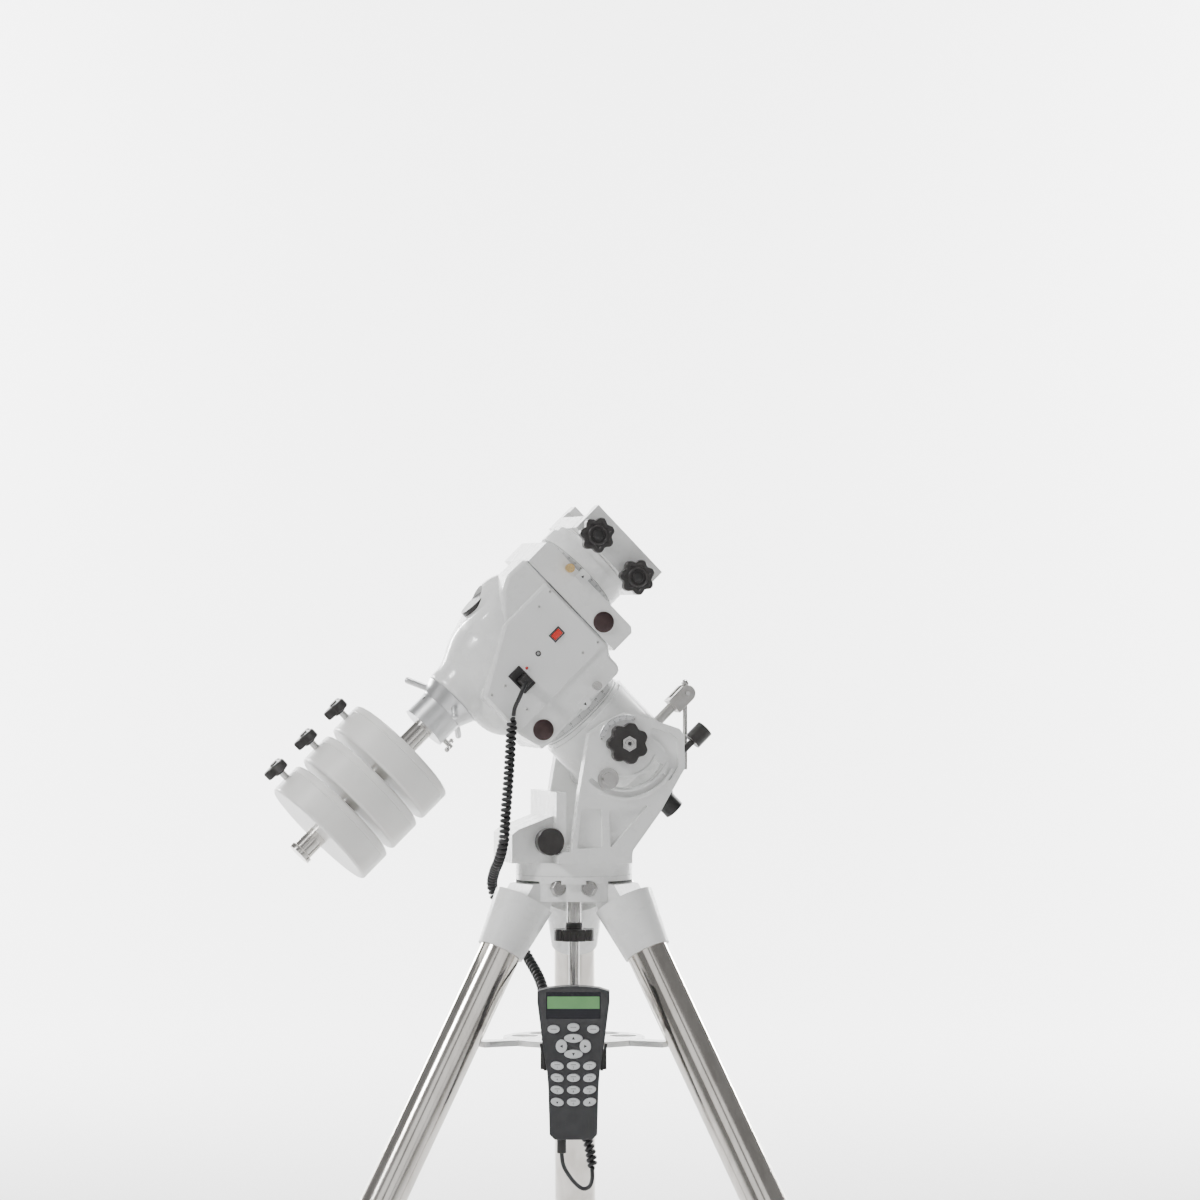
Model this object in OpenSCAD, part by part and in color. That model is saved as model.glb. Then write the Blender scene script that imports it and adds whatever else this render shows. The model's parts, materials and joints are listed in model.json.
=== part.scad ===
/* [Stand] */
// Height of the tripod hub's top face above the floor
hub_top = 765; // [700:5:850]
// Radius of the hub's round top plate
hub_r = 70; // [66:1:72]
// Height of the hub's cheeks
hub_depth = 30; // [26:1:34]
// Lean of the legs from upright, degrees
leg_tilt = 28.6; // [27:0.2:31]
// Outside diameter of the steel leg tubes
tube_d = 50.8; // [44:0.2:54]
// Wall of the leg tubes
tube_wall = 1.6; // [1.2:0.1:2]
// Length of the cast leg sockets
casting_len = 86; // [74:1:100]
// Length of the tapered extension legs
inner_len = 470; // [430:5:540]
// Travel of the extension legs
leg_travel = 330; // [200:5:340]
// Height of the accessory tray's top face
tray_top = 570; // [545:1:590]
// Radius of the accessory tray's plate
tray_r = 85; // [80:1:88]
// Diameter of the small eyepiece holes in the tray
eyepiece_d = 32.2; // [26:0.1:34]
// Diameter of the centre rod
rod_d = 12.4; // [10:0.2:14]

/* [Base and axes] */
// Turn of the head about the upright axis, degrees
head_turn = 15; // [0:1:20]
// Tilt of the polar axis above level, degrees
polar_tilt = 45.5; // [45:0.1:46]
// Height of the altitude pivot above the floor
pivot_z = 923.4; // [915:1:932]
// Distance of the altitude pivot south of the upright axis
pivot_x = 43.7; // [40:0.5:48]
// Distance along the polar axis from the pivot to the declination axis
axis_rise = 173.3; // [168:0.5:180]
// Inner distance between the two bracket plates
fork_gap = 123; // [122:0.5:130]
// Thickness of each bracket plate
plate_t = 14; // [10:0.5:18]
// Diameter of the pivot bolts
pivot_d = 16; // [12:0.5:20]
// Diameter of the polar housing
ra_d = 119; // [110:1:121]
// Diameter of the hollow polar shaft
ra_shaft_d = 50; // [40:1:54]
// Distance of the azimuth peg from the upright axis
peg_x = 46; // [44:0.5:48]

/* [Head] */
// Half width of the head castings
head_w = 60; // [58:0.5:64]
// Diameter of the declination shaft
dec_shaft_d = 54; // [50:1:58]
// Diameter of the setting circles
circle_d = 110; // [100:1:113]
// Length of the saddle along its channel
saddle_len = 112; // [100:1:130]
// Width of the saddle's channel
channel_w = 98; // [90:1:104]
// Diameter of the saddle knobs
saddle_knob_d = 43; // [36:1:48]

/* [Counterweights] */
// Diameter of the counterweight shaft
cw_shaft_d = 25; // [22:0.5:26]
// Distance from the polar axis to the shaft's far end
cw_shaft_end = 357; // [352:1:400]
// Diameter of each counterweight
cw_d = 150; // [120:1:160]
// Width of each counterweight
cw_w = 42; // [34:1:42]
// Width of the three-armed clamp knobs
cw_knob_d = 35; // [28:1:38]

/* [Hand controller] */
// Height of the hand controller
pad_h = 180; // [170:1:190]
// Depth of the hand controller
pad_t = 28; // [24:1:30]
// Travel of the keys
key_travel = 0.8; // [0.4:0.1:1]
// Diameter of the coiled part of the cord
coil_d = 13.5; // [10:0.5:14]
// Diameter of the cord's wire
wire_d = 5; // [4:0.25:6]

/* [Hidden] */
$fn = 48;
// Radial clearance of running fits
run = 0.05;
// Gap between parts that move past each other
gap = 0.3;
// Far enough to cut right through
far = 400;

// Stand
tube_r = tube_d / 2;
bore_r = tube_r - tube_wall;
inner_r = bore_r - 1.5;
leg_azimuths = [-150, -30, 90];
hinge_z = hub_top - 14;
hinge_r = 48;
hinge_pin_r = 4;
hinge_head_r = 9.2;
hinge_lug_r = 7.5;
axis_offset = 12.2;
leg_total = hinge_z / cos(leg_tilt);
foot_r = 17;
foot_reach = hinge_r + axis_offset + hinge_z * tan(leg_tilt);
foot_long = foot_r / cos(leg_tilt);
foot_front = sqrt(pow(foot_long / 2, 2) + pow(foot_r * sqrt(3) / 2, 2));
stand_shift = foot_reach / 4 + (foot_long - foot_front) / 2;
slot_w = 58;
tongue_w = slot_w - 2 * gap;
cone_start = 18.2;
cone_top_r = 36.5;
cone_end_r = tube_r + 3;
tube_start = 42;
tube_end = leg_total - 165;
collar_len = 50;
inner_end = leg_total - 50;
rod_r = rod_d / 2;
tray_t = 7;
arm_w = 26;
tray_reach = hinge_r + axis_offset + (hinge_z - tray_top) * tan(leg_tilt) - tube_r / cos(leg_tilt) - 1;
tray_hole_r = 60;

// Azimuth base
base_z = hub_top + gap;
deck_z = hub_top + 16;
deck_top = deck_z + 14;
plate_in = fork_gap / 2;
plate_out = plate_in + plate_t;
peg_r = 7;
peg_top = hub_top + 54;
bolt_z = hub_top + 42;
bolt_r = 5;
bolt_bore_r = bolt_r + run;
box_w = 46;
azimuth_knob_r = 16.3;
peg_play = 8;
slot_radius = 47.3;
slot_from = -118;
slot_to = -35;
pivot_r = pivot_d / 2;

// Polar and declination axes, as distances s along the declination axis and t along the polar axis
axes_x = pivot_x - axis_rise * cos(polar_tilt);
axes_z = pivot_z + axis_rise * sin(polar_tilt);
pivot_t = -axis_rise;
ra_r = ra_d / 2;
ra_top = -123.6;
ra_shoulder = -203;
ra_bottom = -252;
ra_end_r = 45;
ra_shaft_r = ra_shaft_d / 2;
circle_r = circle_d / 2;
head_low = -111.2;
slot_bolt_s = -45.2;
slot_bolt_t = pivot_t - 14.5;
screw_t = pivot_t - 25.3;
screw_r = 6;
claw_s = 104;
handle_s = 102;
lock_t = -242.5;
lock_y = -18;
scope_r = 12.75;
worm_r = 8;
ra_worm_s = -57.9;
ra_worm_t = -93.6;
dec_worm_s = 84.3;
dec_worm_t = -54.4;
seam_s = 70;
dec_face = 105;
dec_shaft_r = dec_shaft_d / 2;
ring_from = 112.5;
ring_to = 129;
ring_r = 57;
saddle_s = 138;
saddle_floor = 158;
saddle_top = 177;
saddle_mid = -6;
rail_in = 52;
rail_t = 14;
jaw_in = channel_w - rail_in;
jaw_t = 18;
knob_s = 147;
knob_gap = 35;
saddle_screw_r = 4;
lock_from = -103.3;
lock_to = -120.7;
socket_end = -150.7;
socket_r = 28.5;
neck_r = 24;
cw_r = cw_d / 2;
cw_shaft_r = cw_shaft_d / 2;
cw_centres = [-309.3, -259, -208.5];
cw_screw_r = 4.2;

// Control panel outline, s and t
panel = [[65, 26], [66.5, -73], [-80, -74.5], [-79, -17], [-3, 26]];
panel_y = head_w + 2;
port_t = 58.5;
port_r = 18;

// Side view of the head casting, s and t
head_side = [[seam_s, 67], [39, 68], [24, port_t], [-26, port_t], [-52, 54], [-74, 38], [-103, 36],
    [-103, -38], [-99, -54], [-77, -80], [-77, -103], [-70, head_low], [56, head_low],
    [62, -105], [62, -91], [seam_s, -88]];

// Side view of one bracket plate, south and up, from the hub's top and the altitude pivot
bracket_side = [[-24, deck_z], [-13, pivot_z - 57], [-6, pivot_z - 16], [-1, pivot_z + 12],
    [18, pivot_z + 25], [44, pivot_z + 36], [68, pivot_z + 31], [110, pivot_z + 17],
    [116, pivot_z + 10], [117, pivot_z - 30], [86, pivot_z - 83], [53, deck_z + 15], [50, deck_z]];

// Hand controller and cord
pad_x = 0;
pad_back = -104;
pad_low = 460;
key_rows = [0, 1, 2, 3];
// Half width of the hand controller and height above its lower end
pad_half = [[22, 0], [28, 6], [29.5, 60], [31, 80], [36.5, 115], [41, 150], [42.5, 162], [42.5, 174],
    [30, 178], [15, 179.5], [3, 180]];
cord_sides = 10;
wire_sides = 8;
lead_route = [[-55, -97, 998], [-59, -103, 990], [-64, -102, 978], [-69, -98, 967], [-71, -95, 957]];
coil_route = [[-71, -95, 955], [-73, -92, 944], [-75, -90, 914], [-77, -86, 884], [-80, -80, 846],
    [-83, -74, 808], [-89, -55, 784], [-95, -26, 769], [-98, -2, 750], [-89, 7, 724],
    [-75, 6, 700], [-57, -4, 668], [-40, -42, 640], [-33, -76, 612], [-32, -88, 580],
    [-26, -91, 545], [-8, -91, 508], [11, -93, 472], [20, -97, 442], [22, -102, 420]];
tail_route = [[22, -102, 420], [22, -105, 411], [19, -108, 403], [12, -110, 400], [4, -112, 405],
    [-5, -115, 416], [-12, -117, 429], [-14, -118, 444]];

white = [0.93, 0.93, 0.92];
black = [0.1, 0.1, 0.11];
steel = [0.7, 0.68, 0.66];
brown = [0.25, 0.17, 0.16];

// Frames: the stand, the head, and the two axes
module stand() translate([0, -stand_shift, 0]) children();
module head() stand() rotate([0, 0, head_turn]) children();
module polar() head() translate([axes_x, 0, axes_z]) rotate([0, polar_tilt - 90, 0]) children();
module dec() polar() rotate([0, 90, 0]) children();
module leg(azimuth) stand() rotate([0, 0, azimuth])
    translate([hinge_r + axis_offset, 0, hinge_z]) rotate([0, 180 - leg_tilt, 0]) children();

// A flat outline in the x and z plane, from y = from to y = to
module side(outline, from, to)
    translate([0, to, 0]) rotate([90, 0, 0]) linear_extrude(to - from) polygon(outline);

// A round bar along y
module along_y(r, from, to, x = 0, z = 0)
    translate([x, to, z]) rotate([90, 0, 0]) cylinder(r = r, h = to - from);

// A round bar along x
module along_x(r, from, to, y = 0, z = 0)
    translate([from, y, z]) rotate([0, 90, 0]) cylinder(r = r, h = to - from);

// A round bar along z
module along_z(r, from, to) translate([0, 0, from]) cylinder(r = r, h = to - from);

// A lobed knob along z
module lobed(r, h, lobes, notch) difference() {
    cylinder(r = r, h = h);
    for (i = [0 : lobes - 1]) rotate([0, 0, i * 360 / lobes])
        translate([r + notch * 0.45, 0, -1]) cylinder(r = notch, h = h + 2);
}

// Points of a smooth curve through a route
function smooth(p, i, u) = let (a = p[max(i - 1, 0)], b = p[i], c = p[i + 1], d = p[min(i + 2, len(p) - 1)])
    0.5 * (2 * b + (c - a) * u + (2 * a - 5 * b + 4 * c - d) * u * u + (3 * b - a - 3 * c + d) * u * u * u);
function curve(p, steps) = concat([for (i = [0 : len(p) - 2]) for (k = [0 : steps - 1])
    smooth(p, i, k / steps)], [p[len(p) - 1]]);
function unit(v) = v / norm(v);

// A round tube swept along a route
module sweep(route, steps, r, sides) {
    p = curve(route, steps);
    n = len(p);
    dirs = [for (i = [0 : n - 1]) unit(p[min(i + 1, n - 1)] - p[max(i - 1, 0)])];
    points = [for (i = [0 : n - 1]) let (e = unit(cross(dirs[i], [0.3, 0.9, 0.1])), f = cross(dirs[i], e))
        for (k = [0 : sides - 1]) p[i] + r * (cos(k * 360 / sides) * e + sin(k * 360 / sides) * f)];
    walls = [for (i = [0 : n - 2]) for (k = [0 : sides - 1]) let (j = (k + 1) % sides)
        [i * sides + k, i * sides + j, (i + 1) * sides + j, (i + 1) * sides + k]];
    ends = [[for (k = [sides - 1 : -1 : 0]) k], [for (k = [0 : sides - 1]) (n - 1) * sides + k]];
    polyhedron(points, concat(walls, ends));
}

// Hub with its three leg slots and the azimuth peg
module tripod_hub() color(white) stand() {
    difference() {
        union() {
            along_z(hub_r, hub_top - 9, hub_top);
            along_z(40, hub_top - hub_depth, hub_top);
            for (a = [-90, 30, 150]) rotate([0, 0, a]) intersection() {
                translate([0, -40, hub_top - hub_depth]) cube([62, 80, hub_depth]);
                along_z(hub_r - 1, 0, hub_top);
            }
        }
        for (a = leg_azimuths) rotate([0, 0, a]) {
            translate([26, -slot_w / 2, hub_top - hub_depth - 1]) cube([80, slot_w, hub_depth - 5]);
            along_y(hinge_pin_r + run, -far, far, hinge_r, hinge_z);
            for (s = [-1, 1]) scale([1, s, 1]) along_y(hinge_head_r + gap, 40.8, 52, hinge_r, hinge_z);
        }
        along_z(rod_r + run, 0, hub_top - 8);
    }
    rotate([0, 0, head_turn]) translate([-peg_x, 0, hub_top]) cylinder(r = peg_r, h = peg_top - hub_top);
}

// Hinge bolts of the three legs, with hexagon heads
module leg_bolts() color(steel) stand() for (a = leg_azimuths) rotate([0, 0, a]) {
    along_y(hinge_pin_r, -42, 42, hinge_r, hinge_z);
    for (side = [-1, 1]) translate([hinge_r, side * 45, hinge_z]) rotate([90, 0, 0])
        translate([0, 0, -4]) cylinder(r = hinge_head_r, h = 8, $fn = 6);
}

// Threaded centre rod with its upper sleeve
module centre_rod() color(steel) stand() {
    along_z(rod_r, tray_top - 34, hub_top - 9);
    difference() {
        along_z(8.5, hub_top - 58, hub_top - hub_depth - 0.1);
        along_z(rod_r + run, 0, hub_top);
    }
}

// Hand knob that tightens the centre rod
module rod_knob() color(black) stand() difference() {
    union() {
        translate([0, 0, hub_top - 80]) lobed(25, 14, 8, 6);
        along_z(10.75, hub_top - 66.2, hub_top - 58.5);
    }
    along_z(rod_r + run, 0, far * 3);
}

// Accessory tray: plate, three arms that brace the legs, boss and eyepiece holes
module spreader_tray() color(white) stand() difference() {
    union() {
        along_z(tray_r, tray_top - tray_t, tray_top);
        along_z(15, tray_top - 24, tray_top);
        for (a = leg_azimuths) rotate([0, 0, a]) {
            translate([0, -arm_w / 2, tray_top - tray_t]) cube([tray_reach - arm_w / 4, arm_w, tray_t]);
            translate([tray_reach - 5, 0, tray_top - tray_t]) intersection() {
                translate([-arm_w, -arm_w / 2, 0]) cube([arm_w + 5, arm_w, tray_t]);
                cylinder(r = arm_w / 2, h = tray_t);
            }
        }
    }
    for (a = [30, 150, 270]) for (b = [-20, 20]) rotate([0, 0, a + b])
        translate([tray_hole_r, 0, 0]) along_z(eyepiece_d / 2, 0, far * 3);
    along_z(rod_r + run, 0, far * 3);
}

// Cast socket at the top of one leg
module leg_casting(azimuth) {
    difference() {
        leg(azimuth) translate([0, 0, cone_start])
            cylinder(r1 = cone_top_r, r2 = cone_end_r, h = casting_len - cone_start);
        leg(azimuth) translate([0, 0, tube_start]) cylinder(r = tube_r + run, h = far);
    }
    stand() rotate([0, 0, azimuth]) difference() {
        union() {
            along_y(hinge_lug_r, -tongue_w / 2, tongue_w / 2, hinge_r, hinge_z);
            side([[hinge_r - 6, hinge_z - 4], [hinge_r, hinge_z + 7], [hinge_r + 24, hinge_z + 4],
                [hinge_r + 38, hinge_z - 18], [hinge_r + 2, hinge_z - 28]], -tongue_w / 2, tongue_w / 2);
        }
        along_y(hinge_pin_r + run, -far, far, hinge_r, hinge_z);
    }
}

// Steel tube of one leg and the clamp collar at its lower end
module leg_tube(azimuth) leg(azimuth) {
    difference() {
        along_z(tube_r, tube_start + gap, tube_end);
        along_z(bore_r, 0, far * 3);
    }
    difference() {
        union() {
            along_z(tube_r + 5, tube_end - 24, tube_end + collar_len - 24);
            translate([0, tube_r + 2, tube_end + 13]) rotate([0, 90, 0]) translate([0, 0, -9])
                cylinder(r = 8, h = 18);
            along_y(5, tube_r, tube_r + 24, 0, tube_end + 13);
            along_y(12, tube_r + 22, tube_r + 34, 0, tube_end + 13);
        }
        along_z(tube_r + run, 0, tube_end);
        along_z(inner_r + run, 0, far * 3);
    }
}

// Extension leg with its foot, cut level at the floor
module leg_inner(azimuth) {
    leg(azimuth) difference() {
        along_z(inner_r, inner_end - inner_len, inner_end);
        along_z(inner_r - 1.6, 0, inner_end - 20);
    }
    intersection() {
        leg(azimuth) union() {
            along_z(inner_r + 2.5, inner_end, inner_end + 14);
            along_z(foot_r, inner_end + 14, leg_total + 20);
        }
        translate([-far * 3, -far * 3, 0]) cube([far * 6, far * 6, far]);
    }
}

module left_leg_casting() color(white) leg_casting(leg_azimuths[0]);
module left_leg_tube() color(steel) leg_tube(leg_azimuths[0]);
module left_leg_inner() color(steel) leg_inner(leg_azimuths[0]);
module right_leg_casting() color(white) leg_casting(leg_azimuths[1]);
module right_leg_tube() color(steel) leg_tube(leg_azimuths[1]);
module right_leg_inner() color(steel) leg_inner(leg_azimuths[1]);
module rear_leg_casting() color(white) leg_casting(leg_azimuths[2]);
module rear_leg_tube() color(steel) leg_tube(leg_azimuths[2]);
module rear_leg_inner() color(steel) leg_inner(leg_azimuths[2]);

// Turning base: round foot, deck, two bracket plates, cross wall and azimuth housing
module azimuth_base() color(white) head() difference() {
    union() {
        along_z(hub_r, base_z, deck_z);
        translate([-38, -plate_out, deck_z]) cube([90, 2 * plate_out, deck_top - deck_z]);
        for (y = [-plate_out, plate_in]) side(bracket_side, y, y + plate_t);
        translate([-38, -plate_in - 1, deck_z]) cube([12, 2 * plate_in + 2, 84]);
        side([[-88, deck_z], [-88, deck_z + 34], [-80, deck_z + 40], [-38, deck_z + 56],
            [-30, deck_z + 56], [-30, deck_z]], -box_w, box_w);
    }
    translate([-peg_x - peg_r - 1.5, -peg_r - peg_play, 0])
        cube([2 * peg_r + 3, 2 * (peg_r + peg_play), peg_top + 3]);
    along_y(bolt_bore_r, -far, far, -peg_x, bolt_z);
    for (s = [-1, 1]) scale([1, s, 1]) along_y(azimuth_knob_r + 1.5, box_w, far, -peg_x, bolt_z);
    along_y(pivot_r + run, -far, far, pivot_x, pivot_z);
    translate([pivot_x, plate_out + 1, pivot_z]) rotate([90, 0, 0]) altitude_slot();
}

// Curved slot for the altitude lock bolts
module altitude_slot() intersection() {
    difference() {
        cylinder(r = slot_radius + bolt_r + 0.6, h = 2 * plate_out + 2);
        translate([0, 0, -1]) cylinder(r = slot_radius - bolt_r - 0.6, h = far);
    }
    linear_extrude(far) polygon([[0, 0], for (i = [0 : 4])
        let (a = slot_from - 8 + i * (slot_to - slot_from + 14) / 4) 2 * slot_radius * [cos(a), sin(a)]]);
}

// Two opposed azimuth bolts with ribbed hand knobs
module azimuth_bolts() color(black) head() for (s = [-1, 1]) scale([1, s, 1]) {
    along_y(bolt_r, peg_r + 0.1, box_w + 12, -peg_x, bolt_z);
    along_y(azimuth_knob_r, box_w + 7.5, box_w + 23, -peg_x, bolt_z);
}

// Pivot bolts with lobed knobs and hexagon nuts, one on each side
module pivot_knobs() color(black) head() for (s = [0, 180]) translate([pivot_x, 0, pivot_z])
    rotate([0, 0, s]) rotate([90, 0, 0]) {
        along_z(pivot_r, plate_in - 20, plate_out + 4);
        translate([0, 0, plate_out + 1]) lobed(25, 13, 7, 7);
        translate([0, 0, plate_out + 14]) cylinder(r = 9.5, h = 5, $fn = 6);
    }

// Housing of the polar shaft, tilting between the bracket plates
module ra_housing() color(white) polar() difference() {
    union() {
        along_z(ra_r - 3, ra_top - 5, ra_top);
        along_z(ra_r, ra_shoulder, ra_top - 5);
        translate([0, 0, ra_shoulder - 16]) cylinder(r1 = ra_end_r, r2 = ra_r, h = 16);
        along_z(ra_end_r, ra_bottom, ra_shoulder - 16);
        for (y = [-plate_in + gap, 30]) along_y(11, y, y + plate_in - gap - 30, slot_bolt_s, slot_bolt_t);
    }
    along_z(ra_shaft_r + run, ra_bottom + 8, 0);
    along_z(scope_r + run, ra_bottom - 1, 0);
    along_y(pivot_r + run, plate_in - 20.5, far, 0, pivot_t);
    along_y(pivot_r + run, -far, 20.5 - plate_in, 0, pivot_t);
    along_x(screw_r + run, 33, far, 0, screw_t);
    along_x(4 + run, 33, far, lock_y, lock_t);
    along_y(bolt_r + run, 32, far, slot_bolt_s, slot_bolt_t);
    along_y(bolt_r + run, -far, -32, slot_bolt_s, slot_bolt_t);
}

// Bolts that lock the altitude through the curved slots, with washers
module slot_bolts() color(steel) polar() translate([slot_bolt_s, 0, slot_bolt_t]) for (s = [90, -90])
    rotate([s, 0, 0]) {
        along_z(bolt_r, 33, plate_out + 8);
        along_z(13, plate_out + gap, plate_out + 3);
        translate([0, 0, plate_out + 3]) cylinder(r = 7.5, h = 6);
    }

// Altitude screw with its forked head and cross pin
module altitude_screw() color(steel) polar() translate([0, 0, screw_t]) difference() {
    union() {
        along_x(screw_r, 34, claw_s - 13.5);
        difference() {
            translate([claw_s - 19, -12, -10]) cube([23, 24, 20]);
            translate([claw_s - 13, -5.5, -11]) cube([40, 11, 22]);
        }
        for (y = [-12, 5.5]) along_y(10, y, y + 6.5, claw_s + 4, 0);
    }
    along_y(3 + run, -far, far, claw_s + 4, 0);
}

// Swinging handle bar of the altitude screw, with a ball end, hanging upright
module altitude_handle() color(steel) head()
    translate([axes_x, 0, axes_z]) rotate([0, polar_tilt - 90, 0]) translate([claw_s + 4, 0, screw_t])
    rotate([0, 90 - polar_tilt, 0]) {
        along_z(2.8, -92, 10);
        translate([0, 0, 12]) sphere(r = 4.6);
        along_y(5, -5.2, 5.2);
        along_y(3, -13.5, 13.5);
    }

// Ribbed knob that locks the polar axis
module axis_lock_knob() color(black) polar() {
    along_x(4, 34, 75, lock_y, lock_t);
    along_x(11, 70, 93, lock_y, lock_t);
}

// Polar finder with its eyepiece
module polar_scope() color(black) polar() {
    along_z(scope_r, -290, ra_bottom + 7.5);
    difference() {
        along_z(scope_r + 1.5, -272, -263);
        along_z(scope_r - 1, -275, -260);
    }
}

// Graduated ring of the polar axis
module ra_circle() color(steel) polar() difference() {
    along_z(circle_r, ra_top + gap, head_low - gap);
    along_z(ra_shaft_r + run, -far, far);
}

// Hollow shaft of the polar axis with its top flange
module ra_shaft() color(steel) polar() difference() {
    union() {
        along_z(ra_shaft_r, ra_bottom + 10, -85);
        along_z(circle_r - 5, -89, -84.2);
    }
    along_z(ra_shaft_r - 8, -far, far);
}

// Main casting of the head
module main_housing() color(white) polar() difference() {
    union() {
        side(head_side, 4 - head_w, head_w - 4);
        side([[-77, -78], [-77, -103], [-70, head_low], [56, head_low], [62, -105], [62, -78]], -head_w, head_w);
        side([[seam_s, 32], [seam_s, -78], [-83, -78], [-83, -14], [-4, 32]], -head_w, 0);
        along_x(52, -102, seam_s);
    }
    along_x(dec_shaft_r + 6, -92, far);
    along_x(dec_shaft_r + run, -far, 0);
    along_z(circle_r - 3, -far, -84);
    along_z(port_r, 0, far);
    along_z(circle_r - 20, -85, 0);
    along_y(worm_r + 1, -52, 52, ra_worm_s, ra_worm_t);
    side([[60, 20], [60, -66], [-70, -68], [-70, -20], [-1, 20]], -head_w - 1, 14 - head_w);
}

// Upper casting that carries the declination drive
module dec_block() color(white) polar() difference() {
    side([[seam_s, 62], [dec_face - 4, 62], [dec_face, 56], [dec_face, -82], [dec_face - 5, -88],
        [seam_s, -88]], -head_w, head_w);
    along_x(dec_shaft_r + run, 0, far);
    along_x(50, 0, dec_face - 8);
    along_y(worm_r + 1, -52, 52, dec_worm_s, dec_worm_t);
}

// Plate with the switch, the ports and the hand controller's socket
module control_panel() color(white) polar() difference() {
    side(panel, -panel_y, -head_w);
    side([[26.3, -28], [39.3, -28], [39.3, -20], [26.3, -20]], -far, 0);
    along_y(2, -far, 0, 0.8, -24.4);
    side([[-44.3, -47.3], [-25.7, -47.3], [-25.7, -17.7], [-44.3, -17.7]], -far, 0);
}

// Power rocker
module power_switch() color([0.8, 0.1, 0.08]) polar()
    side([[26.7, -27.7], [38.9, -27.7], [38.9, -20.3], [26.7, -20.3]], -panel_y - 2.5, 9 - head_w);

// Block of sockets in the panel
module socket_block() color(black) polar() difference() {
    side([[-44, -47], [-26, -47], [-26, -18], [-44, -18]], -panel_y - 1.5, 12 - head_w);
    side([[-41, -40], [-29, -40], [-29, -28], [-41, -28]], -panel_y - 2, 4 - head_w);
}

// Domed caps over the worm ends
module worm_caps() color(brown) polar() for (c = [[dec_worm_s, dec_worm_t], [ra_worm_s, ra_worm_t]])
    translate([c[0], -head_w, c[1]]) rotate([90, 0, 0]) intersection() {
        cylinder(r = 12.5, h = 5);
        translate([0, 0, -22]) sphere(r = 27);
    }

// Cap over the polar finder's window
module polar_port_cap() color(black) polar() {
    along_z(22, port_t + 0.1, port_t + 6);
    along_z(port_r - gap, 45, port_t + 0.1);
}

// Screws that lock the two graduated rings
module ra_circle_screw() color([0.6, 0.5, 0.3]) polar() {
    along_y(4, -head_w - 8, -head_w - 0.2, 24, -101);
    along_y(5.5, -head_w - 13, -head_w - 8, 24, -101);
}
module dec_circle_screw() color([0.6, 0.5, 0.3]) polar() {
    along_y(4, -head_w - 8, -head_w - 0.2, 98, 22);
    along_y(5.5, -head_w - 13, -head_w - 8, 98, 22);
}

// Worm wheels of both axes
module worm_wheels() color([0.75, 0.6, 0.3]) polar() {
    difference() {
        along_z(-ra_worm_s - worm_r - gap, -101, -89.5);
        along_z(ra_shaft_r + run, -far, 0);
    }
    difference() {
        along_x(-dec_worm_t - worm_r - gap, 78, 90);
        along_x(dec_shaft_r + run, -far, far);
    }
}

// Worms of both axes
module worms() color(steel) polar() {
    along_y(worm_r, -50, 50, ra_worm_s, ra_worm_t);
    along_y(worm_r, -50, 50, dec_worm_s, dec_worm_t);
}

// Hollow declination shaft
module dec_shaft() color(steel) dec() difference() {
    along_z(dec_shaft_r, lock_from + gap, ring_from);
    along_z(cw_shaft_r + 1, -far, ring_from - 10);
}

// Graduated ring of the declination axis
module dec_circle() color(steel) dec() difference() {
    along_z(circle_r, dec_face + gap, ring_from - gap);
    along_z(dec_shaft_r + run, -far, far);
}

// Saddle with its collar, floor and fixed rail
module saddle() color(white) {
    dec() along_z(ring_r, ring_from, ring_to);
    dec() along_z(ring_r - 4, ring_to, saddle_s);
    polar() difference() {
        translate([saddle_s, 2 - jaw_in, saddle_mid - saddle_len / 2])
            cube([saddle_top - saddle_s, rail_in + rail_t + jaw_in - 2, saddle_len]);
        side([[saddle_floor, -far], [saddle_floor, far], [far, far], [far, -far]], -far, rail_in - 7);
        side([[saddle_floor, -far], [saddle_floor, far], [saddle_floor + 9, far], [saddle_floor + 9, -far]],
            0, rail_in);
        for (t = [-knob_gap, knob_gap]) along_y(saddle_screw_r + run, -far, 0, knob_s, saddle_mid + t);
    }
}

// Sliding jaw of the saddle
module saddle_jaw() color(white) polar() difference() {
    translate([saddle_s + 0.6, -jaw_in - jaw_t, saddle_mid - saddle_len / 2])
        cube([saddle_top - saddle_s - 0.6, jaw_t, saddle_len]);
    side([[saddle_floor, -far], [saddle_floor, far], [saddle_floor + 9, far], [saddle_floor + 9, -far]],
        -jaw_in - 6, 0);
    for (t = [-knob_gap, knob_gap]) along_y(saddle_screw_r + run, -far, far, knob_s, saddle_mid + t);
}

// One lobed knob of the saddle with its screw
module saddle_knob(t) color(black) polar() translate([knob_s, 0, saddle_mid + t]) rotate([90, 0, 0]) {
    along_z(saddle_screw_r, 10, jaw_in + jaw_t + 12);
    along_z(9, jaw_in + jaw_t + 6.3, jaw_in + jaw_t + 12);
    translate([0, 0, jaw_in + jaw_t + 10]) lobed(saddle_knob_d / 2, 13, 7, 7);
    along_z(7, jaw_in + jaw_t + 20, jaw_in + jaw_t + 26);
}
module saddle_knob_upper() saddle_knob(knob_gap);
module saddle_knob_lower() saddle_knob(-knob_gap);

// Tapered ring with three levers, which locks the counterweight shaft
module lock_ring() color(steel) dec() difference() {
    union() {
        translate([0, 0, lock_to]) cylinder(r1 = 29, r2 = 36.5, h = lock_from - lock_to);
        for (a = [158, 38, 278]) rotate([0, 0, a]) translate([30, 0, (lock_from + lock_to) / 2])
            rotate([0, 112, 0]) {
                cylinder(r = 4, h = 26);
                translate([0, 0, 26]) sphere(r = 4);
            }
    }
    along_z(neck_r + run, -far, far);
}

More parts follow.
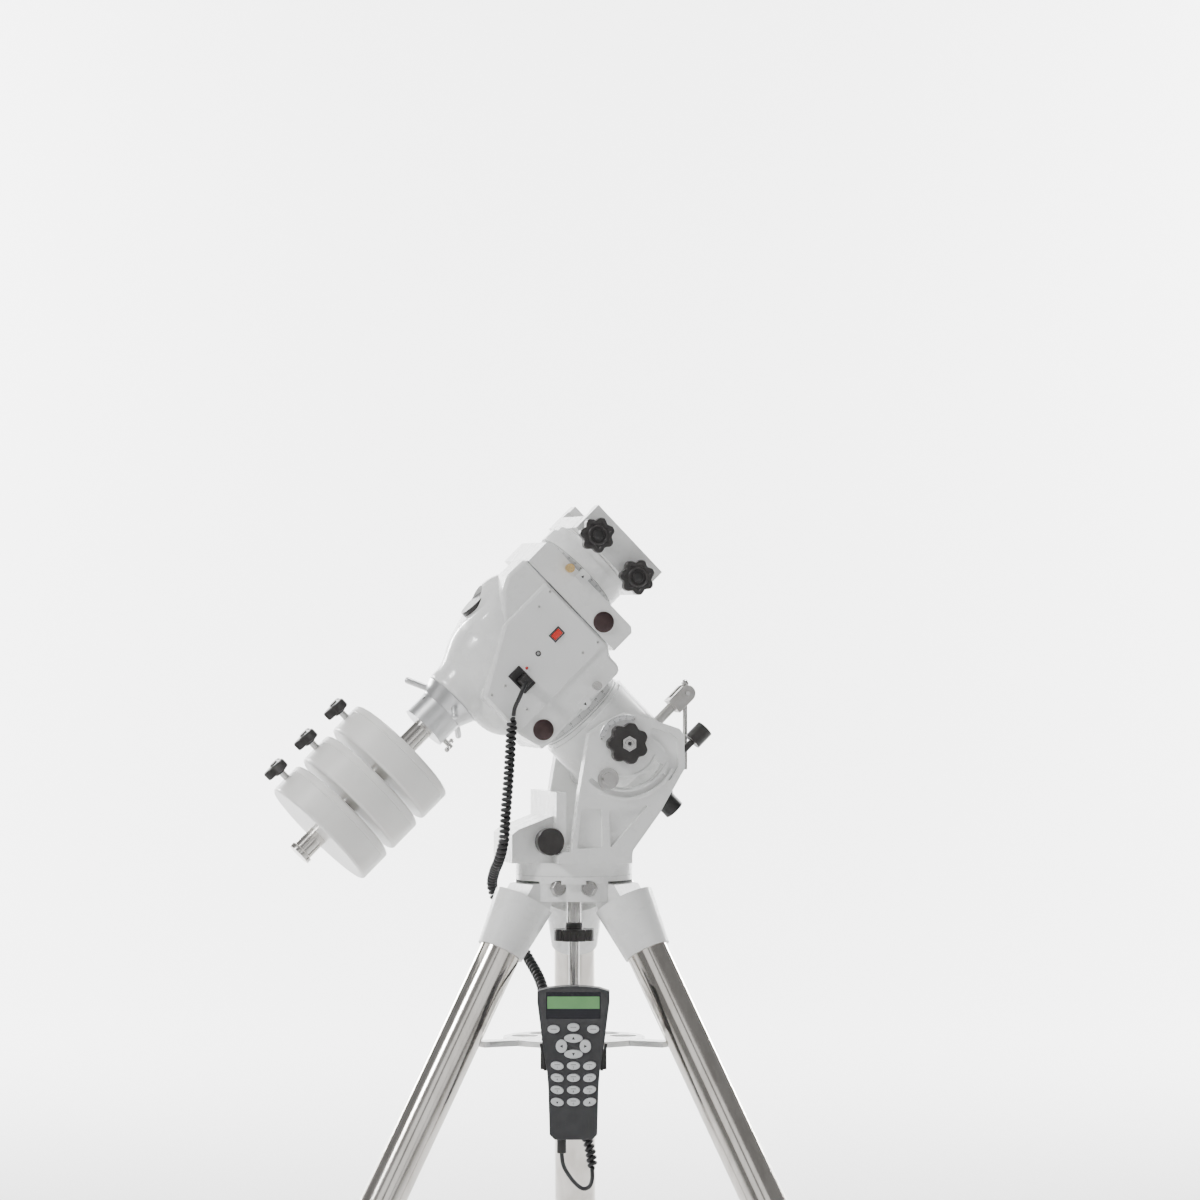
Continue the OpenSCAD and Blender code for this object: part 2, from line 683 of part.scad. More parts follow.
// Socket that holds the counterweight shaft
module shaft_socket() color(steel) dec() difference() {
    union() {
        along_z(neck_r, lock_to - gap, lock_from + gap);
        along_z(socket_r, socket_end, lock_to - gap);
    }
    along_z(cw_shaft_r + run, -far, far);
    translate([0, 0, -143]) rotate([0, 90, 0]) cylinder(r = 3 + run, h = far);
    for (a = [60, 200]) rotate([0, 0, a]) translate([socket_r - 5, 0, -127]) rotate([0, 90, 0])
        cylinder(r = 1.8, h = far);
}

// Small T-handled clamp screw of the socket
module socket_screw() color(steel) dec() translate([0, 0, -143]) rotate([0, 90, 0]) {
    along_z(3, cw_shaft_r + gap, 41);
    rotate([0, 0, 35]) translate([0, 0, 37]) {
        along_y(1.4, -12, 12);
        for (y = [-12, 12]) translate([0, y, 0]) sphere(r = 3.2);
    }
}

// Counterweight shaft with its end stop
module counterweight_shaft() color(steel) dec() {
    along_z(cw_shaft_r, -cw_shaft_end, -60);
    along_z(cw_shaft_r + 2.5, -cw_shaft_end - 6, -cw_shaft_end);
}

// One counterweight, with rounded edges and a radial hole for its clamp screw
module counterweight(centre) color(white) dec() translate([0, 0, centre]) difference() {
    rotate_extrude() difference() {
        union() {
            translate([cw_shaft_r + run, -cw_w / 2]) square([cw_r - 4 - cw_shaft_r, cw_w]);
            translate([cw_shaft_r + 5, 4 - cw_w / 2]) square([cw_r - 5 - cw_shaft_r, cw_w - 8]);
            for (z = [-1, 1]) translate([cw_r - 4, z * (cw_w / 2 - 4)]) circle(r = 4);
        }
        translate([cw_r, cw_w / 2 - 10]) circle(r = 0.9);
    }
    rotate([0, -90, 0]) cylinder(r = cw_screw_r + run, h = far);
}
module counterweight_1() counterweight(cw_centres[0]);
module counterweight_2() counterweight(cw_centres[1]);
module counterweight_3() counterweight(cw_centres[2]);

// Clamp screw of one counterweight with its three-armed knob
module weight_knob(centre) color(black) polar() translate([centre, 0, 0]) {
    along_z(cw_screw_r, cw_shaft_r + gap, cw_r + 12);
    translate([0, 0, cw_r + 10]) {
        cylinder(r = 8, h = 13);
        for (a = [0, 120, 240]) rotate([0, 0, a]) translate([cw_knob_d / 2 - 6.5, 0, 1]) cylinder(r = 6.5, h = 11);
    }
}
module weight_knob_1() weight_knob(cw_centres[0]);
module weight_knob_2() weight_knob(cw_centres[1]);
module weight_knob_3() weight_knob(cw_centres[2]);

// Case of the hand controller, with its window and key holes
module handset_shell() color([0.25, 0.25, 0.26]) stand() difference() {
    side([for (s = [1, -1]) for (i = [0 : len(pad_half) - 1])
        let (p = pad_half[s > 0 ? i : len(pad_half) - 1 - i]) [pad_x + s * p[0], pad_low + p[1] * pad_h / 180]],
        pad_back - pad_t, pad_back);
    translate([pad_x - 32, pad_back - pad_t - 1, pad_low + pad_h - 38]) cube([64, 2.5, 31.4]);
    keys(0.4, pad_back - pad_t - 1, pad_back - pad_t + 8);
    translate([pad_x - 14, pad_back - 14, pad_low - 1]) cylinder(r = 6, h = 12);
}

// Keys of the hand controller: menu, arrows and numbers
module keys(grow, from, to) {
    for (i = [-1, 0, 1])
        oval_key(i * 23.2, pad_low + pad_h - 50 + (i == 0 ? 2.2 : 0), 14.2, 9.8, 0, grow, from, to);
    for (i = [-1, 1]) {
        oval_key(0, pad_low + pad_h - 70 + 9.3 * i, 22, 10.4, 0, grow, from, to);
        oval_key(14 * i, pad_low + pad_h - 70, 13.5, 15.5, 0, grow, from, to);
    }
    for (row = key_rows) for (i = [-1, 0, 1])
        oval_key(i * 19, pad_low + 44.5 + row * 14.2, 15.4, 9.6, i * -12, grow, from, to);
}

// One oval key of any width and height
module oval_key(x, z, w, h, turn, grow, from, to)
    translate([pad_x + x, to, z]) rotate([90, turn, 0]) linear_extrude(to - from)
        polygon([for (k = [0 : 19]) [(w / 2 + grow) * cos(18 * k), (h / 2 + grow) * sin(18 * k)]]);
module handset_keys() color([0.7, 0.7, 0.7]) stand() keys(0, pad_back - pad_t - 1.6, pad_back - pad_t + 6);

// Holder that hangs the hand controller on the tray's edge
module handset_cradle() color(black) stand() {
    difference() {
        translate([pad_x - 12, pad_back + 2, tray_top - tray_t - 6]) cube([24, 30, 6]);
        along_z(20, 0, far * 3);
    }
    translate([pad_x - 20, pad_back + gap, pad_low + 70]) cube([40, 3, 80]);
    for (s = [-1, 1]) {
        translate([pad_x + s * 27 - 12, pad_back + gap, pad_low + 80]) cube([24, 3, 24]);
        translate([pad_x, 0, pad_low]) scale([s, 1, 1])
            side([[31.6, 80], [36.8, 112], [40, 112], [35, 80]], pad_back - 16, pad_back + gap + 3);
    }
}

// Plugs of the coiled cord, one in the panel and one in the hand controller
module mount_plug() color(black) polar() side([[-40.5, -39.5], [-29.5, -39.5], [-29.5, -28.5], [-40.5, -28.5]],
    -panel_y - 20, 3.5 - head_w);
module handset_plug() color(black) stand() translate([pad_x - 14, pad_back - 14, pad_low - 17]) cylinder(r = 5.5, h = 27);

// Cord: straight lead, coiled part and straight tail
module cord_lead() color(black) stand() sweep(lead_route, 2, wire_d / 2, wire_sides);
module cord_coil() color(black) stand() sweep(coil_route, 2, coil_d / 2, cord_sides);
module cord_tail() color(black) stand() sweep(tail_route, 2, wire_d / 2, wire_sides);

tripod_hub();
leg_bolts();
centre_rod();
rod_knob();
spreader_tray();
left_leg_casting();
left_leg_tube();
left_leg_inner();
right_leg_casting();
right_leg_tube();
right_leg_inner();
rear_leg_casting();
rear_leg_tube();
rear_leg_inner();
azimuth_base();
azimuth_bolts();
pivot_knobs();
ra_housing();
slot_bolts();
altitude_screw();
altitude_handle();
axis_lock_knob();
polar_scope();
ra_circle();
ra_shaft();
main_housing();
dec_block();
control_panel();
power_switch();
socket_block();
worm_caps();
polar_port_cap();
ra_circle_screw();
dec_circle_screw();
worm_wheels();
worms();
dec_shaft();
dec_circle();
saddle();
saddle_jaw();
saddle_knob_upper();
saddle_knob_lower();
lock_ring();
shaft_socket();
socket_screw();
counterweight_shaft();
counterweight_1();
counterweight_2();
counterweight_3();
weight_knob_1();
weight_knob_2();
weight_knob_3();
handset_shell();
handset_keys();
handset_cradle();
mount_plug();
handset_plug();
cord_lead();
cord_coil();
cord_tail();
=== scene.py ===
"""An equatorial mount on its tripod: castings, axes, clamps, weights, hand control and cord.

Every piece is drawn in millimetres in the frame of the sub-assembly that it belongs to, and is
stored in metres in the frame of the mount.
"""

import json
import logging
import math
from dataclasses import dataclass, field, replace
from enum import Enum
from typing import Callable, Iterable, Sequence

import bmesh
import bpy
from mathutils import Matrix, Vector

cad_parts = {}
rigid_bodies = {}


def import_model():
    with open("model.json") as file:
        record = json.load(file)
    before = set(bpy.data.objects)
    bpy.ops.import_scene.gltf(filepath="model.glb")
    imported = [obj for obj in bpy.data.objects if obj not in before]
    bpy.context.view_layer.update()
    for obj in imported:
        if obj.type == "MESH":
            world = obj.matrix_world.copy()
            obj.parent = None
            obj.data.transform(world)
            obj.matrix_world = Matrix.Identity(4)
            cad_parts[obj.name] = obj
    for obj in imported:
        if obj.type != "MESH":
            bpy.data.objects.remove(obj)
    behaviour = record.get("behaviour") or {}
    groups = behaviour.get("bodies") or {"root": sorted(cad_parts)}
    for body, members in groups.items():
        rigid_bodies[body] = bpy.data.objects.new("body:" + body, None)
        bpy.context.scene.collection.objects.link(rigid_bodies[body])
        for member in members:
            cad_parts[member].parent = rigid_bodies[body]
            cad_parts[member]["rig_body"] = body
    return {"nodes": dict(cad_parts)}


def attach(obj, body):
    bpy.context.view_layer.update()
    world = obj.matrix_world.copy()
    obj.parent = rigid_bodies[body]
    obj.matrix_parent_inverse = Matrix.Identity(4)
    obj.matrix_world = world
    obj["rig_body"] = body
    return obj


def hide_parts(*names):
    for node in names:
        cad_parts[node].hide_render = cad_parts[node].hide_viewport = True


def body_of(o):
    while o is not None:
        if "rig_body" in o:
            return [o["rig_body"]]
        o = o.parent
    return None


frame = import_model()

log = logging.getLogger("mount")

MM = 0.001
STAND_SHIFT = 118.286
HEAD_TURN = 15.0
AXES_X = -77.77
AXES_Z = 1047.0
POLAR_TILT = 45.5
LEG_TILT = 28.6
HINGE_R = 60.2
HINGE_Z = 751.0
PIVOT_X = 43.7
PIVOT_Z = 923.4
SMOOTH_ANGLE = 32.0


def turned(degrees: float, axis: str) -> Matrix:
    """A turn about one axis, in degrees."""
    return Matrix.Rotation(math.radians(degrees), 4, axis)


def moved(x: float, y: float, z: float) -> Matrix:
    """A shift in millimetres."""
    return Matrix.Translation((x, y, z))


STAND = moved(0.0, -STAND_SHIFT, 0.0)
HEAD = STAND @ turned(HEAD_TURN, "Z")
POLAR = HEAD @ moved(AXES_X, 0.0, AXES_Z) @ turned(POLAR_TILT - 90.0, "Y")
DEC = POLAR @ turned(90.0, "Y")


def leg_place(azimuth: float) -> Matrix:
    """The frame of one leg: z runs down the leg, x points inwards and y across it.

    Args:
        azimuth: the direction in which the leg stands, in degrees.
    Returns:
        The place of the leg's hinge.
    """
    out = STAND @ turned(azimuth, "Z") @ moved(HINGE_R, 0.0, HINGE_Z)
    return out @ turned(180.0 - LEG_TILT, "Y")


def smoothstep(low: float, high: float, value: float) -> float:
    """A soft step from 0 at low to 1 at high."""
    t = min(1.0, max(0.0, (value - low) / (high - low)))
    return t * t * (3.0 - 2.0 * t)


def catmull(route: Sequence[Vector], steps: int) -> list[Vector]:
    """A smooth line through the points of a route.

    Args:
        route: the points that the line goes through.
        steps: how many pieces lie between two points.
    Returns:
        The points of the smooth line.
    """
    line = []
    for i in range(len(route) - 1):
        p0 = route[max(i - 1, 0)]
        p1 = route[i]
        p2 = route[i + 1]
        p3 = route[min(i + 2, len(route) - 1)]
        for k in range(steps):
            t = k / steps
            bend = 2 * p0 - 5 * p1 + 4 * p2 - p3
            twist = 3 * p1 - p0 - 3 * p2 + p3
            line.append(p1 + 0.5 * t * ((p2 - p0) + t * (bend + t * twist)))
    line.append(route[-1].copy())
    return line


# ---------------------------------------------------------------------------
# Finishes
# ---------------------------------------------------------------------------


class Effect(Enum):
    """The shared surface effects, each a node group."""

    GRAIN = "Fine Grain"
    MOTTLE = "Colour Mottle"
    HANDLING = "Handling Marks"
    # painted edge highlight: a lighter colour on convex edges that stands in for the light they
    # catch
    EDGE_WEAR = "Painted Edge Highlights"


class Effects:
    """Builds each shared effect once and hands it to the finishes."""

    def __init__(self) -> None:
        """Starts with no groups built."""
        self.groups: dict[Effect, bpy.types.NodeTree] = {}

    def get(self, effect: Effect) -> bpy.types.NodeTree:
        """The node group of one effect, built on first use.

        Args:
            effect: the wanted effect.
        Returns:
            Its node group.
        """
        if effect not in self.groups:
            builders = {
                Effect.GRAIN: self._grain,
                Effect.MOTTLE: self._mottle,
                Effect.HANDLING: self._handling,
                Effect.EDGE_WEAR: self._rubbed,
            }
            self.groups[effect] = builders[effect](effect.value)
        return self.groups[effect]

    def _tree(
        self, name: str, inputs: Sequence[tuple[str, str]], outputs: Sequence[tuple[str, str]]
    ) -> bpy.types.NodeTree:
        """A bare group with its sockets.

        Args:
            name: the group's name.
            inputs: name and kind of each input socket.
            outputs: name and kind of each output socket.
        Returns:
            The group, holding its input and output nodes.
        """
        tree = bpy.data.node_groups.new(name, "ShaderNodeTree")
        for label, kind in inputs:
            tree.interface.new_socket(label, in_out="INPUT", socket_type=f"NodeSocket{kind}")
        for label, kind in outputs:
            tree.interface.new_socket(label, in_out="OUTPUT", socket_type=f"NodeSocket{kind}")
        tree.nodes.new("NodeGroupInput")
        tree.nodes.new("NodeGroupOutput")
        return tree

    def _noise(
        self, tree: bpy.types.NodeTree, scale: str | float, detail: float, rough: float = 0.5
    ) -> bpy.types.Node:
        """A noise texture on the group's Vector input.

        Args:
            tree: the group.
            scale: the input socket that sets the scale, or a fixed scale.
            detail: the number of octaves.
            rough: how strongly the finer octaves count.
        Returns:
            The noise node.
        """
        source = tree.nodes["Group Input"]
        noise = tree.nodes.new("ShaderNodeTexNoise")
        noise.inputs["Detail"].default_value = detail
        noise.inputs["Roughness"].default_value = rough
        tree.links.new(source.outputs["Vector"], noise.inputs["Vector"])
        if isinstance(scale, str):
            tree.links.new(source.outputs[scale], noise.inputs["Scale"])
        else:
            noise.inputs["Scale"].default_value = scale
        return noise

    def _maths(
        self, tree: bpy.types.NodeTree, operation: str, a: object, b: object
    ) -> bpy.types.NodeSocket:
        """One sum on two sockets or numbers, and its result.

        Args:
            tree: the tree that takes in the sum.
            operation: the name of the sum.
            a: the first socket or number.
            b: the second socket or number.
        Returns:
            The result's socket.
        """
        node = tree.nodes.new("ShaderNodeMath")
        node.operation = operation
        for i, value in enumerate((a, b)):
            if isinstance(value, bpy.types.NodeSocket):
                tree.links.new(value, node.inputs[i])
            else:
                node.inputs[i].default_value = float(value)
        return node.outputs[0]

    def _grain(self, name: str) -> bpy.types.NodeTree:
        """Height of a fine grain over a slow ripple, for a bump.

        Args:
            name: the name of the node group.
        Returns:
            The node group.
        """
        tree = self._tree(
            name,
            [("Vector", "Vector"), ("Scale", "Float"), ("Ripple", "Float")],
            [("Height", "Float")],
        )
        source = tree.nodes["Group Input"]
        fine = self._noise(tree, "Scale", 3.0, 0.6)
        slow = self._noise(tree, 46.0, 1.0)
        ripple = self._maths(tree, "MULTIPLY", slow.outputs["Fac"], source.outputs["Ripple"])
        total = self._maths(tree, "ADD", fine.outputs["Fac"], ripple)
        tree.links.new(total, tree.nodes["Group Output"].inputs["Height"])
        return tree

    def _mottle(self, name: str) -> bpy.types.NodeTree:
        """A base colour that drifts a little towards a second one.

        Args:
            name: the name of the node group.
        Returns:
            The node group.
        """
        tree = self._tree(
            name,
            [
                ("Vector", "Vector"), ("Scale", "Float"), ("Color", "Color"), ("Second", "Color"),
                ("Amount", "Float"),
            ],
            [("Color", "Color")],
        )
        source = tree.nodes["Group Input"]
        noise = self._noise(tree, "Scale", 4.0, 0.55)
        spread = tree.nodes.new("ShaderNodeMapRange")
        spread.interpolation_type = "SMOOTHSTEP"
        spread.inputs["From Min"].default_value = 0.35
        spread.inputs["From Max"].default_value = 0.68
        tree.links.new(noise.outputs["Fac"], spread.inputs["Value"])
        factor = self._maths(tree, "MULTIPLY", spread.outputs["Result"], source.outputs["Amount"])
        mix = tree.nodes.new("ShaderNodeMix")
        mix.data_type = "RGBA"
        tree.links.new(factor, mix.inputs["Factor"])
        tree.links.new(source.outputs["Color"], mix.inputs["A"])
        tree.links.new(source.outputs["Second"], mix.inputs["B"])
        tree.links.new(mix.outputs["Result"], tree.nodes["Group Output"].inputs["Color"])
        return tree

    def _handling(self, name: str) -> bpy.types.NodeTree:
        """A roughness that rises in soft smears, as left by handling and dust.

        Args:
            name: the name of the node group.
        Returns:
            The node group.
        """
        tree = self._tree(
            name,
            [("Vector", "Vector"), ("Scale", "Float"), ("Roughness", "Float"), ("Amount", "Float")],
            [("Roughness", "Float")],
        )
        source = tree.nodes["Group Input"]
        smears = self._noise(tree, "Scale", 5.0, 0.7)
        centred = self._maths(tree, "SUBTRACT", smears.outputs["Fac"], 0.45)
        change = self._maths(tree, "MULTIPLY", centred, source.outputs["Amount"])
        total = self._maths(tree, "ADD", source.outputs["Roughness"], change)
        held = self._maths(tree, "MAXIMUM", total, 0.02)
        tree.links.new(held, tree.nodes["Group Output"].inputs["Roughness"])
        return tree

    def _rubbed(self, name: str) -> bpy.types.NodeTree:
        """A colour that lightens on sharp outer edges: a painted edge highlight, not wear.

        Args:
            name: the name of the node group.
        Returns:
            The node group.
        """
        tree = self._tree(
            name,
            [("Vector", "Vector"), ("Color", "Color"), ("Highlight", "Color"), ("Amount", "Float")],
            [("Color", "Color")],
        )
        source = tree.nodes["Group Input"]
        # painted edge highlight: pointiness finds the convex edges that are lightened
        shape = tree.nodes.new("ShaderNodeNewGeometry")
        edge = tree.nodes.new("ShaderNodeMapRange")
        edge.inputs["From Min"].default_value = 0.53
        edge.inputs["From Max"].default_value = 0.60
        tree.links.new(shape.outputs["Pointiness"], edge.inputs["Value"])
        broken = self._noise(tree, 320.0, 3.0)
        part = self._maths(tree, "MULTIPLY", edge.outputs["Result"], broken.outputs["Fac"])
        factor = self._maths(tree, "MULTIPLY", part, source.outputs["Amount"])
        mix = tree.nodes.new("ShaderNodeMix")
        mix.data_type = "RGBA"
        tree.links.new(factor, mix.inputs["Factor"])
        tree.links.new(source.outputs["Color"], mix.inputs["A"])
        tree.links.new(source.outputs["Highlight"], mix.inputs["B"])
        tree.links.new(mix.outputs["Result"], tree.nodes["Group Output"].inputs["Color"])
        return tree


@dataclass(frozen=True)
class Finish:
    """One finish: its colour, gloss and grain. The grain may be drawn out along an axis."""

    name: str
    slot: str
    color: tuple[float, float, float]
    second: tuple[float, float, float]
    roughness: float
    metallic: float = 0.0
    coat: float = 0.0
    mottle: float = 0.3
    mottle_scale: float = 30.0
    smears: float = 0.08
    smear_scale: float = 40.0
    grain: float = 900.0
    bump: float = 0.04
    ripple: float = 0.6
    # painted edge highlight: how much the convex edges are lightened, and the colour they go to
    worn: float = 0.0
    worn_color: tuple[float, float, float] = (0.6, 0.6, 0.6)
    stretch: tuple[float, float, float] = (1.0, 1.0, 1.0)
    turn: tuple[float, float, float] = (0.0, 0.0, 0.0)
    glow: float = 0.0

    def build(self, effects: Effects) -> bpy.types.Material:
        """The material of this finish.

        Args:
            effects: the shared node groups.
        Returns:
            A new material.
        """
        material = bpy.data.materials.new(self.name)
        material.use_nodes = True
        material.diffuse_color = (*self.color, 1.0)
        tree = material.node_tree
        surface = tree.nodes["Principled BSDF"]
        surface.inputs["Metallic"].default_value = self.metallic
        surface.inputs["Coat Weight"].default_value = self.coat
        surface.inputs["Coat Roughness"].default_value = 0.06
        place = tree.nodes.new("ShaderNodeTexCoord")
        mapping = tree.nodes.new("ShaderNodeMapping")
        mapping.inputs["Rotation"].default_value = [math.radians(a) for a in self.turn]
        mapping.inputs["Scale"].default_value = self.stretch
        tree.links.new(place.outputs["Object"], mapping.inputs["Vector"])

        colour = self._group(tree, effects, Effect.MOTTLE, mapping)
        colour.inputs["Scale"].default_value = self.mottle_scale
        colour.inputs["Color"].default_value = (*self.color, 1.0)
        colour.inputs["Second"].default_value = (*self.second, 1.0)
        colour.inputs["Amount"].default_value = self.mottle
        last = colour.outputs["Color"]
        # painted edge highlight on the convex edges
        if self.worn > 0.0:
            highlight_group = self._group(tree, effects, Effect.EDGE_WEAR, mapping)
            highlight_group.inputs["Highlight"].default_value = (*self.worn_color, 1.0)
            highlight_group.inputs["Amount"].default_value = self.worn
            tree.links.new(last, highlight_group.inputs["Color"])
            last = highlight_group.outputs["Color"]
        tree.links.new(last, surface.inputs["Base Color"])
        if self.glow > 0.0:
            tree.links.new(last, surface.inputs["Emission Color"])
            surface.inputs["Emission Strength"].default_value = self.glow

        gloss = self._group(tree, effects, Effect.HANDLING, mapping)
        gloss.inputs["Scale"].default_value = self.smear_scale
        gloss.inputs["Roughness"].default_value = self.roughness
        gloss.inputs["Amount"].default_value = self.smears
        tree.links.new(gloss.outputs["Roughness"], surface.inputs["Roughness"])

        grain = self._group(tree, effects, Effect.GRAIN, mapping)
        grain.inputs["Scale"].default_value = self.grain
        grain.inputs["Ripple"].default_value = self.ripple
        bump = tree.nodes.new("ShaderNodeBump")
        bump.inputs["Strength"].default_value = self.bump
        bump.inputs["Distance"].default_value = MM
        tree.links.new(grain.outputs["Height"], bump.inputs["Height"])
        tree.links.new(bump.outputs["Normal"], surface.inputs["Normal"])
        return material

    def _group(
        self, tree: bpy.types.NodeTree, effects: Effects, effect: Effect, mapping: bpy.types.Node
    ) -> bpy.types.Node:
        """One shared effect placed in this finish's tree, fed with the mapped coordinates.

        Args:
            tree: the finish's tree.
            effects: the shared node groups.
            effect: the one to place.
            mapping: the node that gives the coordinates.
        Returns:
            The placed node.
        """
        node = tree.nodes.new("ShaderNodeGroup")
        node.node_tree = effects.get(effect)
        tree.links.new(mapping.outputs["Vector"], node.inputs["Vector"])
        return node


CASTING = Finish(
    "White Casting Paint", "white_casting", (0.86, 0.865, 0.855), (0.80, 0.80, 0.785), 0.27,
    coat=0.45, mottle=0.35, mottle_scale=14.0, smears=0.10, grain=1500.0, bump=0.05, ripple=1.6,
)
WEIGHT_PAINT = Finish(
    "Weight Paint", "weight_paint", (0.87, 0.865, 0.84), (0.80, 0.79, 0.76), 0.34,
    coat=0.25, mottle=0.4, mottle_scale=22.0, grain=1100.0, bump=0.08, ripple=1.2,
)
PANEL_PAINT = Finish(
    "Panel Paint", "panel_paint", (0.84, 0.845, 0.84), (0.79, 0.79, 0.78), 0.36,
    mottle=0.3, grain=2600.0, bump=0.07, ripple=0.2,
)
CHROME = Finish(
    "Polished Steel Tube", "satin_metal", (0.71, 0.68, 0.64), (0.50, 0.47, 0.43), 0.13,
    metallic=1.0, mottle=0.5, mottle_scale=60.0, smears=0.10, smear_scale=70.0, grain=900.0,
    bump=0.03, ripple=0.2, stretch=(1.0, 1.0, 0.04),
)
STEEL = Finish(
    "Machined Steel", "steel", (0.62, 0.61, 0.60), (0.50, 0.49, 0.48), 0.24,
    metallic=1.0, mottle=0.4, mottle_scale=120.0, smears=0.14, grain=1400.0, bump=0.05, ripple=0.2,
)
HARD_STEEL = Finish(
    "Hardened Shaft Steel", "hard_steel", (0.68, 0.66, 0.63), (0.55, 0.53, 0.50), 0.17,
    metallic=1.0, mottle=0.35, mottle_scale=160.0, smears=0.10, grain=1800.0, bump=0.03, ripple=0.1,
)
ALUMINIUM = Finish(
    "Satin Aluminium", "satin_metal", (0.76, 0.765, 0.77), (0.66, 0.665, 0.67), 0.33,
    metallic=1.0, mottle=0.4, mottle_scale=90.0, smears=0.12, grain=2400.0, bump=0.06, ripple=0.2,
)
PALE_SCREW = replace(
    STEEL, name="Pale Screw Steel", color=(0.72, 0.715, 0.70), second=(0.60, 0.595, 0.58),
    roughness=0.36, metallic=0.65,
)
CAST_STEEL = Finish(
    "Cast Fork Steel", "steel", (0.50, 0.49, 0.475), (0.37, 0.36, 0.35), 0.38,
    metallic=1.0, mottle=0.6, mottle_scale=70.0, smears=0.2, grain=700.0, bump=0.25, ripple=1.0,
)
BRASS = Finish(
    "Turned Brass", "brass", (0.72, 0.52, 0.25), (0.58, 0.40, 0.18), 0.24,
    metallic=1.0, mottle=0.4, mottle_scale=100.0, smears=0.12, grain=1500.0, bump=0.05,
)
# the lighter convex edges of this finish are a painted edge highlight
BLACK_PLASTIC = Finish(
    "Black Moulded Plastic", "dark_plastic", (0.012, 0.0115, 0.0115), (0.024, 0.023, 0.022), 0.40,
    mottle=0.5, mottle_scale=50.0, smears=0.16, grain=1500.0, bump=0.16, ripple=0.5,
    worn=0.35, worn_color=(0.16, 0.155, 0.15),
)
# keeps the painted edge highlight of the black plastic
KNOB_PLASTIC = replace(
    BLACK_PLASTIC, name="Knob Plastic", color=(0.016, 0.0145, 0.014), second=(0.030, 0.027, 0.0255),
    roughness=0.33, coat=0.15,
)
# the lighter convex edges of this finish are a painted edge highlight
HANDSET_PLASTIC = Finish(
    "Textured Handset Plastic", "dark_plastic", (0.026, 0.027, 0.029), (0.042, 0.043, 0.046), 0.50,
    mottle=0.4, mottle_scale=60.0, smears=0.12, grain=3200.0, bump=0.42, ripple=0.3,
    worn=0.3, worn_color=(0.13, 0.13, 0.135),
)
# the lighter convex edges of this finish are a painted edge highlight
BROWN_METAL = Finish(
    "Bronzed Cap", "brown_metal", (0.060, 0.036, 0.036), (0.040, 0.026, 0.027), 0.42,
    metallic=0.4, mottle=0.5, mottle_scale=90.0, smears=0.15, grain=1300.0, bump=0.10,
    worn=0.4, worn_color=(0.34, 0.24, 0.21),
)
KEY_PLASTIC = Finish(
    "Key Rubber", "key_plastic", (0.60, 0.615, 0.62), (0.52, 0.53, 0.535), 0.52,
    mottle=0.4, mottle_scale=110.0, grain=2600.0, bump=0.12,
)
RED_PLASTIC = Finish(
    "Red Rocker", "red_plastic", (0.72, 0.035, 0.022), (0.60, 0.02, 0.015), 0.24,
    coat=0.3, mottle=0.3, mottle_scale=120.0, grain=2000.0, bump=0.06,
)
GREY_PLASTIC = Finish(
    "Grey Dial Ring", "grey_plastic", (0.60, 0.605, 0.60), (0.52, 0.525, 0.52), 0.42,
    mottle=0.4, mottle_scale=60.0, grain=2000.0, bump=0.08,
)
CORD_RUBBER = Finish(
    "Cord Rubber", "cord_rubber", (0.016, 0.016, 0.017), (0.030, 0.030, 0.031), 0.42,
    mottle=0.5, mottle_scale=140.0, smears=0.18, grain=2200.0, bump=0.18, ripple=0.4,
)
INK = Finish(
    "Printed Ink", "dark_plastic", (0.035, 0.035, 0.037), (0.055, 0.055, 0.056), 0.5,
    mottle=0.4, mottle_scale=300.0, grain=3000.0, bump=0.05,
)
PALE_INK = replace(
    INK, name="Pale Printed Ink", color=(0.22, 0.22, 0.22), second=(0.30, 0.30, 0.30)
)
LCD = Finish(
    "Display Glass", "key_plastic", (0.13, 0.30, 0.12), (0.10, 0.25, 0.10), 0.16,
    coat=0.8, mottle=0.5, mottle_scale=34.0, grain=2400.0, bump=0.02, glow=0.25,
)
GLOSS_BLACK = replace(
    BLACK_PLASTIC, name="Display Bezel", color=(0.008, 0.009, 0.014), second=(0.014, 0.015, 0.022),
    roughness=0.14, coat=0.7, bump=0.02, worn=0.0,
)
LED_RED = Finish(
    "Indicator Lens", "red_plastic", (0.45, 0.02, 0.02), (0.35, 0.015, 0.015), 0.14,
    coat=0.6, mottle=0.2, mottle_scale=200.0, grain=2000.0, bump=0.03, glow=0.1,
)
# painted shade: a near-black that stands for the shade deep in screw recesses and sockets
PAINTED_RECESS_SHADE = replace(INK, name="Painted Recess Shade", color=(0.012, 0.012, 0.012), second=(0.02, 0.02, 0.02))


class Paintshop:
    """Keeps the materials that have been built, one for each finish."""

    def __init__(self) -> None:
        """Starts with the shared effects and no materials."""
        self.effects = Effects()
        self.built: dict[str, bpy.types.Material] = {}

    def get(self, finish: Finish) -> bpy.types.Material:
        """The material of a finish, built on first use.

        Args:
            finish: the wanted finish.
        Returns:
            Its material.
        """
        if finish.name not in self.built:
            self.built[finish.name] = finish.build(self.effects)
        return self.built[finish.name]


PAINT = Paintshop()


# ---------------------------------------------------------------------------
# Drawing pieces
# ---------------------------------------------------------------------------


